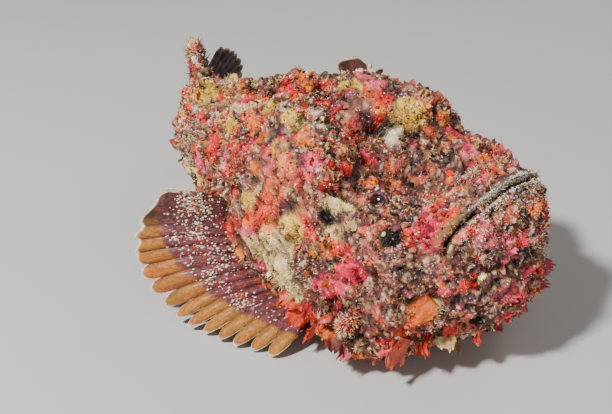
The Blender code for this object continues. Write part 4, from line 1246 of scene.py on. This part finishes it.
def make_studs(name, side, upper, lower, fan, rng):
    """Small pale studs drawn out along the rays, on the outer face of a great fan."""
    u, v = fan.u[:-1], fan.v[:-1]
    density = fall(u, 0.74 - 0.20 * rise(v, 0.1, 0.5), 0.08)
    density = density * (0.25 + hump(u - 0.48, 0.14)) * (1.15 - v)
    density = density * (0.3 + smooth(1.8 * waves(fan.centre[:-1], 0.012, 141, 2)))
    surface = lower
    if grid_normals(upper, False).mean((0, 1)) @ (0, side, 1) > 0:
        surface, density = upper, density[:, ::-1]
    ground = Ground(surface, wrap=False)
    roots, normals, unwrap, _ = ground.scatter(STUDS, density, rng)
    i = np.clip((unwrap[:, 0] * len(surface)).astype(int), 0, len(surface) - 2)
    k = np.clip((unwrap[:, 1] * surface.shape[1]).astype(int), 0, surface.shape[1] - 1)
    ways = unit(surface[i + 1, k] - surface[i, k])
    size = drawn_sizes(0.00028, 0.00075, STUDS, rng)
    sizes = stacked(size, size * rng.uniform(1.0, 2.0, STUDS), size * 0.9)
    tints = accented(markings(roots), rng, (("white", 24), ("pale", 40), ("mauve", 36)), 0.85)
    return planted(name, STUD, roots, normals, ways, sizes, varied(tints, rng, 0.2), unwrap,
                   rough=0.1, rng=rng)


def make_pectoral(name, side):
    """The great fan behind the head on one side, its two faces and its grids."""
    def bulge(u, v):
        return np.array((0.0, side * 0.006, 0.006)) * np.sin(np.pi * u)[..., None]

    def notch(v):
        return 0.02 + 0.27 * np.clip((v - 0.35) / 0.25, 0, 1)

    def scallop(v):
        wavy = 0.5 + 0.5 * np.sin(v * 62 + 1.5 * np.sin(v * 23))
        return 0.055 * wavy * fall(v, 0.42, 0.1)

    fan = fin_surface(
        rows_of(PECTORAL_ROOT, side), rows_of(PECTORAL_TIP_LEFT if side > 0 else PECTORAL_TIP, side),
        PECTORAL_RAYS, rows=64, membrane=0.0020, ridge=0.0044, notch=notch, bulge=bulge,
        per_ray=12, wave=side * 0.0012, scallop=scallop, even=0.30,
    )
    return fin_object(name, fan, pectoral_colours) + (fan,)


PELVIC_RAYS = 6


def make_pelvic(name, side):
    """The smaller fan under the breast."""
    root = ((0.0, 0.012, 0.030, 0.006), (1.0, 0.046, 0.034, 0.006))
    tip = ((0.0, -0.036, 0.054, 0.0035), (0.5, -0.016, 0.068, 0.003), (1.0, 0.022, 0.066, 0.003))
    fan = fin_surface(rows_of(root, side), rows_of(tip, side), PELVIC_RAYS, rows=30,
                      membrane=0.0020, ridge=0.0030, notch=lambda v: 0.10)
    return fin_object(name, fan, pectoral_colours)[0]


DORSAL_FRONT_X = 0.000
DORSAL_REAR_X = -0.156
DORSAL_SPINES = 13
DORSAL_SOFT = 6
DORSAL_HEIGHT = 0.012
DORSAL_SINK = 0.005
LOBE_START = 0.74
LOBE_FULL = 0.85
LOBE_HEIGHT = 0.030
# Ahead of this place and below this height there is no lobe
LOBE_X = -0.10
LOBE_Z = 0.108


def dorsal_root(v):
    """Places along the back from which the dorsal fin grows, on the straight fish."""
    x = DORSAL_FRONT_X + (DORSAL_REAR_X - DORSAL_FRONT_X) * v
    return straight_skin(x, np.full(x.shape, np.pi / 2))[0] - (0, 0, DORSAL_SINK)


def dorsal_tip(v):
    """The tips of its spines and soft rays."""
    spine_share = DORSAL_SPINES / (DORSAL_SPINES + DORSAL_SOFT)
    soft = np.clip((v - spine_share) * 8, 0, 1)
    height = DORSAL_HEIGHT * (0.86 + 0.14 * np.cos(v * 9)) * (1 - 0.15 * soft)
    lobe = LOBE_HEIGHT * smooth((v - LOBE_START) / (LOBE_FULL - LOBE_START))
    lean = -0.55 * height - 0.08 * lobe
    return dorsal_root(v) + stacked(lean, 0, height + lobe + DORSAL_SINK)


def crusted(fan):
    """The skin's own markings, carried on to a fin, darkened by painted shade between its spines and
    rays.
    """
    return markings(posed(fan.centre)) * (0.75 + 0.25 * fan.high)[..., None]


def caudal_colours(fan):
    """Mottled dark maroon with a pale end."""
    colour = choose(
        (("maroon", 34), ("dark", 30), ("purple", 18), ("mauve", 12), ("brown", 6)),
        cells(fan.centre, 0.0036, 111)[2],
    ) * (0.65 + 0.3 * waves(fan.centre, 0.004, 113, 2))[..., None]
    return blend(colour, linear("pale"), 0.8 * rise(fan.share, 0.96, 0.03))


def make_dorsal():
    """Thirteen sheathed spines and six soft rays, the last of them raised in a lobe."""
    fan = fin_surface(
        dorsal_root, dorsal_tip, DORSAL_SPINES + DORSAL_SOFT, rows=36, membrane=0.0032,
        ridge=0.0036, notch=lambda v: np.where(v < 0.68, 0.30, 0.14), wave=0.0016,
        scallop=lambda v: 0.10 * (0.5 + 0.5 * np.sin(v * 37 + 2 * np.sin(v * 11))),
    )
    return fin_object("dorsal", fan, crusted, True)


def on_lobe(places):
    """1 on the raised rear end of the dorsal fin, 0 elsewhere."""
    return rise(places[..., 2], LOBE_Z, 0.008) * (places[..., 0] < LOBE_X)


def make_dorsal_crust(word, surface):
    """Lumps, grains and tufts that grow on one face of the dorsal fin, larger on its lobe."""
    rng = np.random.default_rng(SEED + (2 if word == "left" else 3))
    ground = Ground(surface, wrap=False)
    kinds = (
        ("lumps", LUMP, 420, 0.0009, 0.0024, 0.12),
        ("grains", GRAIN, 2600, 0.0004, 0.0010, 0.42),
        ("tufts", bush(7, rng), 260, 0.0020, 0.0046, 0.6),
    )
    pieces = []
    for kind, shape, count, low, high, salt in kinds:
        roots, normals, unwrap, _ = ground.scatter(count, 1 + 1.6 * on_lobe(ground.centres), rng)
        size = drawn_sizes(low, high, (count, 1), rng)
        sizes = size * rng.uniform(0.7, 1.3, (count, 3)) * (1 + 0.7 * on_lobe(roots)[:, None])
        tints = varied(accented(markings(roots), rng, SALT, salt), rng, 0.25)
        ways = unit(rng.standard_normal((count, 3)))
        pieces.append(planted("dorsal_%s_%s" % (kind, word), shape, roots, normals, ways, sizes,
                              tints, unwrap, rough=0.15, rng=rng))
    return pieces


ANAL_RAYS = 8
ANAL_FRONT_X = -0.100
ANAL_LENGTH = 0.044
ANAL_SINK = 0.004


def make_anal():
    """Three short spines and five soft rays under the tail."""
    def root(v):
        x = ANAL_FRONT_X - ANAL_LENGTH * v
        return straight_skin(x, np.full(x.shape, -np.pi / 2))[0] + (0, 0, ANAL_SINK)

    def tip(v):
        start = root(v)
        drop = 0.006 + 0.008 * np.sin(np.pi * (0.25 + 0.6 * v))
        low = np.maximum(0.0022, start[..., 2] - ANAL_SINK - drop)
        return stacked(start[..., 0] - 0.016, 0, low)

    fan = fin_surface(root, tip, ANAL_RAYS, rows=20, membrane=0.0018, ridge=0.0026,
                      notch=lambda v: 0.16)
    return fin_object("anal", fan, caudal_colours, True)[0]


CAUDAL_RAYS = 13
CAUDAL_LENGTH = 0.062
CAUDAL_MIDDLE_Z = 0.063
CAUDAL_ROOT_HEIGHT = 0.030
CAUDAL_HALF_HEIGHT = 0.042
CAUDAL_SPREAD = 0.62 * math.pi


def make_caudal():
    """The rounded tail fin, which follows the curl of the tail."""
    def root(v):
        z = CAUDAL_MIDDLE_Z + CAUDAL_ROOT_HEIGHT * (0.5 - v)
        return stacked(TAIL_ROOT_X + 0.004, 0, z)

    def tip(v):
        turn = CAUDAL_SPREAD * (0.5 - v)
        corner = np.clip(np.abs(2 * v - 1) / 0.75 - 1 / 3, 0, 1) ** 2
        reach = CAUDAL_LENGTH * (0.90 + 0.10 * np.cos(2 * turn)) * (1 - 0.26 * corner)
        z = CAUDAL_MIDDLE_Z + CAUDAL_HALF_HEIGHT * np.sin(turn) / math.sin(CAUDAL_SPREAD / 2)
        z = z - 0.005 * smooth(1 - v * 2.2)
        return stacked(TAIL_ROOT_X - reach * np.cos(turn * 0.75), 0, z)

    fan = fin_surface(root, tip, CAUDAL_RAYS, rows=36, membrane=0.0016, ridge=0.0028,
                      notch=lambda v: 0.06, wave=0.0008)
    return fin_object("caudal", fan, caudal_colours, True)[0]


# Materials

def set_inputs(node, values):
    """A node, some of its inputs being set by their names."""
    for name, value in values.items():
        node.inputs[name].default_value = value
    return node


def painted(name, bump, grain, roughness=0.6, coat=0.0, subsurface=0.0, coat_roughness=0.25):
    """A wet, grainy skin coloured by the tint of its mesh, its bumps and grain being in metres."""
    made = bpy.data.materials.new(name)
    made.use_nodes = True
    nodes, links = made.node_tree.nodes, made.node_tree.links
    shader = set_inputs(nodes["Principled BSDF"], {
        "Coat Weight": coat, "Coat Roughness": coat_roughness,
        "Subsurface Weight": subsurface, "Subsurface Scale": 0.002,
    })
    tint = nodes.new("ShaderNodeAttribute")
    tint.attribute_name = "tint"
    place = nodes.new("ShaderNodeTexCoord")
    speckle = set_inputs(nodes.new("ShaderNodeTexVoronoi"), {"Scale": 1 / grain})
    cloud = set_inputs(nodes.new("ShaderNodeTexNoise"), {"Scale": 0.4 / grain, "Detail": 6})
    tone = set_inputs(
        nodes.new("ShaderNodeMapRange"),
        {"From Min": 0.3, "From Max": 0.7, "To Min": 0.72, "To Max": 1.25},
    )
    shaded = nodes.new("ShaderNodeVectorMath")
    shaded.operation = "SCALE"
    height = nodes.new("ShaderNodeMath")
    height.operation = "SUBTRACT"
    raised = set_inputs(nodes.new("ShaderNodeBump"), {"Strength": 0.7, "Distance": bump})
    gloss = set_inputs(
        nodes.new("ShaderNodeMapRange"), {"To Min": roughness + 0.15, "To Max": roughness - 0.15}
    )
    for output, target in (
        (place.outputs["Object"], speckle.inputs["Vector"]),
        (place.outputs["Object"], cloud.inputs["Vector"]),
        (cloud.outputs["Fac"], tone.inputs["Value"]),
        (tint.outputs["Color"], shaded.inputs[0]),
        (tone.outputs["Result"], shaded.inputs["Scale"]),
        (shaded.outputs["Vector"], shader.inputs["Base Color"]),
        (cloud.outputs["Fac"], height.inputs[0]),
        (speckle.outputs["Distance"], height.inputs[1]),
        (height.outputs["Value"], raised.inputs["Height"]),
        (raised.outputs["Normal"], shader.inputs["Normal"]),
        (cloud.outputs["Fac"], gloss.inputs["Value"]),
        (gloss.outputs["Result"], shader.inputs["Roughness"]),
    ):
        links.new(output, target)
    return made


def dress(obj, material, slot, *nodes):
    """Gives a piece its material and its body, and hides the parts that it stands for."""
    obj.data.materials.append(material)
    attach(obj, "root")
    if nodes:
        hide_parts(*nodes)


NOSTRIL_X = 0.086
NOSTRIL_TURN = 74
# Radius and height of the rings of a nostril, in millimetres, from its foot to its hollow, and the
# painted shading of each ring: painted light on the rim, painted shade deep in the hollow
NOSTRIL_RINGS = (
    (4.4, -1.5), (3.6, 0.2), (3.0, 1.6), (2.5, 2.5), (1.9, 2.7), (1.4, 2.2), (1.1, 0.6), (0.9, -1.0)
)
NOSTRIL_PAINTED_SHADING = (1, 1, 1, 1.1, 1.0, 0.4, 0.05, 0.02)
NOSTRIL_SIDES = 28


def make_nostrils():
    """A short open tube on either side of the snout."""
    points, tints = [], []
    radius, height = (np.array(NOSTRIL_RINGS) * MM).T[:, :, None, None]
    turn = ring_turns(NOSTRIL_SIDES)[:, None]
    for turn_degrees in (NOSTRIL_TURN, 180 - NOSTRIL_TURN):
        centre, normal = skin_at(NOSTRIL_X, turn_degrees)
        across = unit(np.cross(normal, (1, 0, 0)))
        along = np.cross(across, normal)
        spread = (np.cos(turn) * along + np.sin(turn) * across)[None]
        grid = centre + radius * spread + height * normal
        grid = grid + spread * (0.0004 * waves(grid, 0.0022, 161))[..., None]
        points.append(grid.reshape(-1, 3))
        # Rings darkened by painted shade into the hollow of the tube
        tints.append((markings(grid) * np.array(NOSTRIL_PAINTED_SHADING)[:, None, None]).reshape(-1, 3))
    faces = grid_faces(len(NOSTRIL_RINGS), NOSTRIL_SIDES, True)
    both = np.concatenate([faces, faces + len(points[0])])
    return mesh_object("nostrils", np.concatenate(points), [both], np.concatenate(tints))


# Eyes

# The way that the right or left eye looks, y being outwards, and how far its iris and pupil reach
GAZE = (0.15, 0.72, 0.55)
IRIS_TURN = 0.7
PUPIL_TURN = 0.36
# How far the slit opens from the gaze, how far the lids stand off the eye, and where they end
LID_OPEN_LONG = math.radians(38)
LID_OPEN_HIGH = math.radians(24)
LID_OUT = 0.0011
LID_RIM = 0.0011
LID_SINK = 0.0016
LID_END = math.radians(112)


def eye_axes(side):
    """The way that an eye looks, the long way of its slit and the way across it."""
    look = unit(np.array(GAZE) * (1, side, 1))
    long = unit(np.cross(look, (0, -side * 0.35, 1)))
    return look, long, np.cross(long, look)


def make_lids(name, node, side):
    """The crusted lids that hood an eye and leave a slit, as a grid round the gaze."""
    rows, columns = 30, 96
    look, long, high = eye_axes(side)
    turn = ring_turns(columns)
    edge = 1 / np.hypot(np.cos(turn) / LID_OPEN_LONG, np.sin(turn) / LID_OPEN_HIGH)
    t = np.linspace(0, 1, rows)[:, None]
    polar = (edge + (LID_END - edge) * t**1.2)[..., None]
    way = np.cos(polar) * look + np.sin(polar) * (
        np.cos(turn)[:, None] * long + np.sin(turn)[:, None] * high
    )
    stand = LID_OUT * (1 - np.exp(-t / 0.03)) + LID_RIM * hump(t - 0.10, 0.10)
    reach = EYE_RADIUS + stand - LID_SINK * t**4
    points = EYES[node] + way * reach[..., None]
    crust = 0.0007 * waves(points, 0.0040, 151, 2) + 0.0005 * bumps(points, 0.002, 153, 1)[0]
    points = points + way * (crust * rise(t, 0.08, 0.1))[..., None]
    colours = blend(markings(points), linear("purple") * 1.3, 0.8 * hump(t - 0.14, 0.09))
    # Painted shade on the lids' edge where they meet the eyeball in the slit
    colours = blend(colours, linear("dark") * 0.3, np.exp(-t / 0.025))
    inner = EYES[node] + way[0] * (EYE_RADIUS - 0.0006)
    flat = np.concatenate([inner, points.reshape(-1, 3)])
    # A near-black ring of painted shade closes the lids down to the eyeball
    tint = np.concatenate([np.full((columns, 3), 0.004), colours.reshape(-1, 3)])
    return mesh_object(name, flat, [grid_faces(rows + 1, columns, True)], tint)


def make_eye(name, node, side):
    """A glossy eyeball with a dark iris and a black pupil."""
    look = Vector(eye_axes(side)[0])
    rings, sides = 40, 56
    polar = np.pi * (np.arange(1, rings) / rings)[:, None]
    turn = ring_turns(sides)
    local = stacked(np.sin(polar) * np.cos(turn), np.sin(polar) * np.sin(turn), np.cos(polar))
    across = look.orthogonal().normalized()
    basis = np.array([across, look.cross(across), look])
    flat = np.concatenate([local.reshape(-1, 3), [(0, 0, 1), (0, 0, -1)]])
    points = EYES[node] + flat @ basis * EYE_RADIUS
    reach = np.arccos(np.clip(flat[:, 2], -1, 1))
    streaks = 0.5 + 0.5 * np.sin(np.arctan2(flat[:, 1], flat[:, 0]) * 23 + 3 * np.sin(reach * 9))
    tint = blend(linear("purple") * 0.35, linear("brown"), 0.35 * streaks)
    tint = blend(tint, 0.002, smooth((PUPIL_TURN - reach) / 0.04 + 0.5))
    tint = blend(tint, linear("dark") * 0.25, rise(reach, IRIS_TURN, 0.1))
    front = cap(0, sides, len(flat) - 2)[:, ::-1]
    rear = cap((rings - 2) * sides, sides, len(flat) - 1)
    return mesh_object(name, points, [grid_faces(rings - 1, sides, True), front, rear], tint)


def eye_material():
    """A wet cornea over the painted iris."""
    return painted("cornea", bump=0.00002, grain=0.0012, roughness=0.22, coat=1.0,
                   coat_roughness=0.03)


# Light, floor and camera

VIEW_AZIMUTH = 41
VIEW_ELEVATION = 33
VIEW_DISTANCE = 0.62
VIEW_TARGET = (-0.0126, -0.0279, 0.0626)
VIEW_LENS = 58
SENSOR_WIDTH = 36
FLOOR_HALF = 6.0
WORLD_STRENGTH = 0.14
# Square lights turned to the fish: name, place, side and power
LIGHTS = (
    ("key", (-0.15, -1.0, 1.30), 0.16, 38),
    ("fill", (1.3, -0.5, 0.7), 0.9, 3),
    ("rim", (0.2, 1.2, 1.1), 0.8, 5),
)
LIT_PLACE = (0, 0, 0.05)


def make_camera():
    """The photograph's own view."""
    data = bpy.data.cameras.new("camera")
    data.lens = VIEW_LENS
    data.sensor_width = SENSOR_WIDTH
    camera = add_object("camera", data)
    a, e = math.radians(VIEW_AZIMUTH), math.radians(VIEW_ELEVATION)
    away = Vector((math.sin(a) * math.cos(e), -math.cos(a) * math.cos(e), math.sin(e)))
    camera.location = Vector(VIEW_TARGET) + away * VIEW_DISTANCE
    camera.rotation_euler = away.to_track_quat("Z", "Y").to_euler()
    bpy.context.scene.camera = camera


def make_studio():
    """A plain pale floor, a pale world and three soft lights."""
    corners = np.array([(-1, -1, 0), (1, -1, 0), (1, 1, 0), (-1, 1, 0)]) * FLOOR_HALF
    floor = mesh_object("floor", corners, [np.array([[0, 1, 2, 3]])])
    paper = bpy.data.materials.new("paper")
    paper.use_nodes = True
    set_inputs(paper.node_tree.nodes["Principled BSDF"],
               {"Base Color": (0.62, 0.61, 0.59, 1), "Roughness": 0.9})
    floor.data.materials.append(paper)
    world = bpy.data.worlds.new("world")
    bpy.context.scene.world = world
    world.use_nodes = True
    set_inputs(world.node_tree.nodes["Background"],
               {"Color": (1, 0.99, 0.97, 1), "Strength": WORLD_STRENGTH})
    for name, place, size, power in LIGHTS:
        data = bpy.data.lights.new(name, "AREA")
        data.size = size
        data.energy = power
        light = add_object(name, data)
        light.location = place
        turned = (Vector(place) - Vector(LIT_PLACE)).to_track_quat("Z", "Y")
        light.rotation_euler = turned.to_euler()


def main():
    """Builds every piece, gives each its material and body, and hides the parts that it stands for."""
    make_camera()
    make_studio()
    skin_stuff = painted("skin", bump=0.0008, grain=0.0012, coat=0.12, subsurface=0.06)
    fin_stuff = painted("fin", bump=0.0006, grain=0.0010, coat=0.1, subsurface=0.1)
    skin, ground = make_skin()
    dress(skin, skin_stuff, "skin", "head", "jaw", "trunk", "tail")
    rng = np.random.default_rng(SEED + 4)
    for side, word in ((1, "left"), (-1, "right")):
        fin, upper, lower, fan = make_pectoral("pectoral_" + word, side)
        dress(fin, fin_stuff, "fin", "pectoral_fin_" + word)
        dress(make_studs("studs_" + word, side, upper, lower, fan, rng), fin_stuff, "fin")
        dress(make_pelvic("pelvic_" + word, side), fin_stuff, "fin", "pelvic_fin_" + word)
        eye = make_eye("eyeball_" + word, "eye_" + word, side)
        dress(eye, eye_material(), "eye", "eye_" + word)
        dress(make_lids("lids_" + word, "eye_" + word, side), skin_stuff, "skin")
    dress(make_nostrils(), skin_stuff, "skin")
    coat_stuff = painted("coat", bump=0.00025, grain=0.0006, coat=0.12, subsurface=0.06)
    for piece in make_coat(ground) + [make_flaps(ground)]:
        dress(piece, coat_stuff, "skin")
    dress(make_anal(), fin_stuff, "fin", "anal_fin")
    dress(make_caudal(), fin_stuff, "fin", "caudal_fin")
    dorsal, left, right = make_dorsal()
    dress(dorsal, fin_stuff, "fin", "dorsal_fin")
    for word, surface in (("left", left), ("right", right)):
        for piece in make_dorsal_crust(word, surface):
            dress(piece, coat_stuff, "fin")


main()
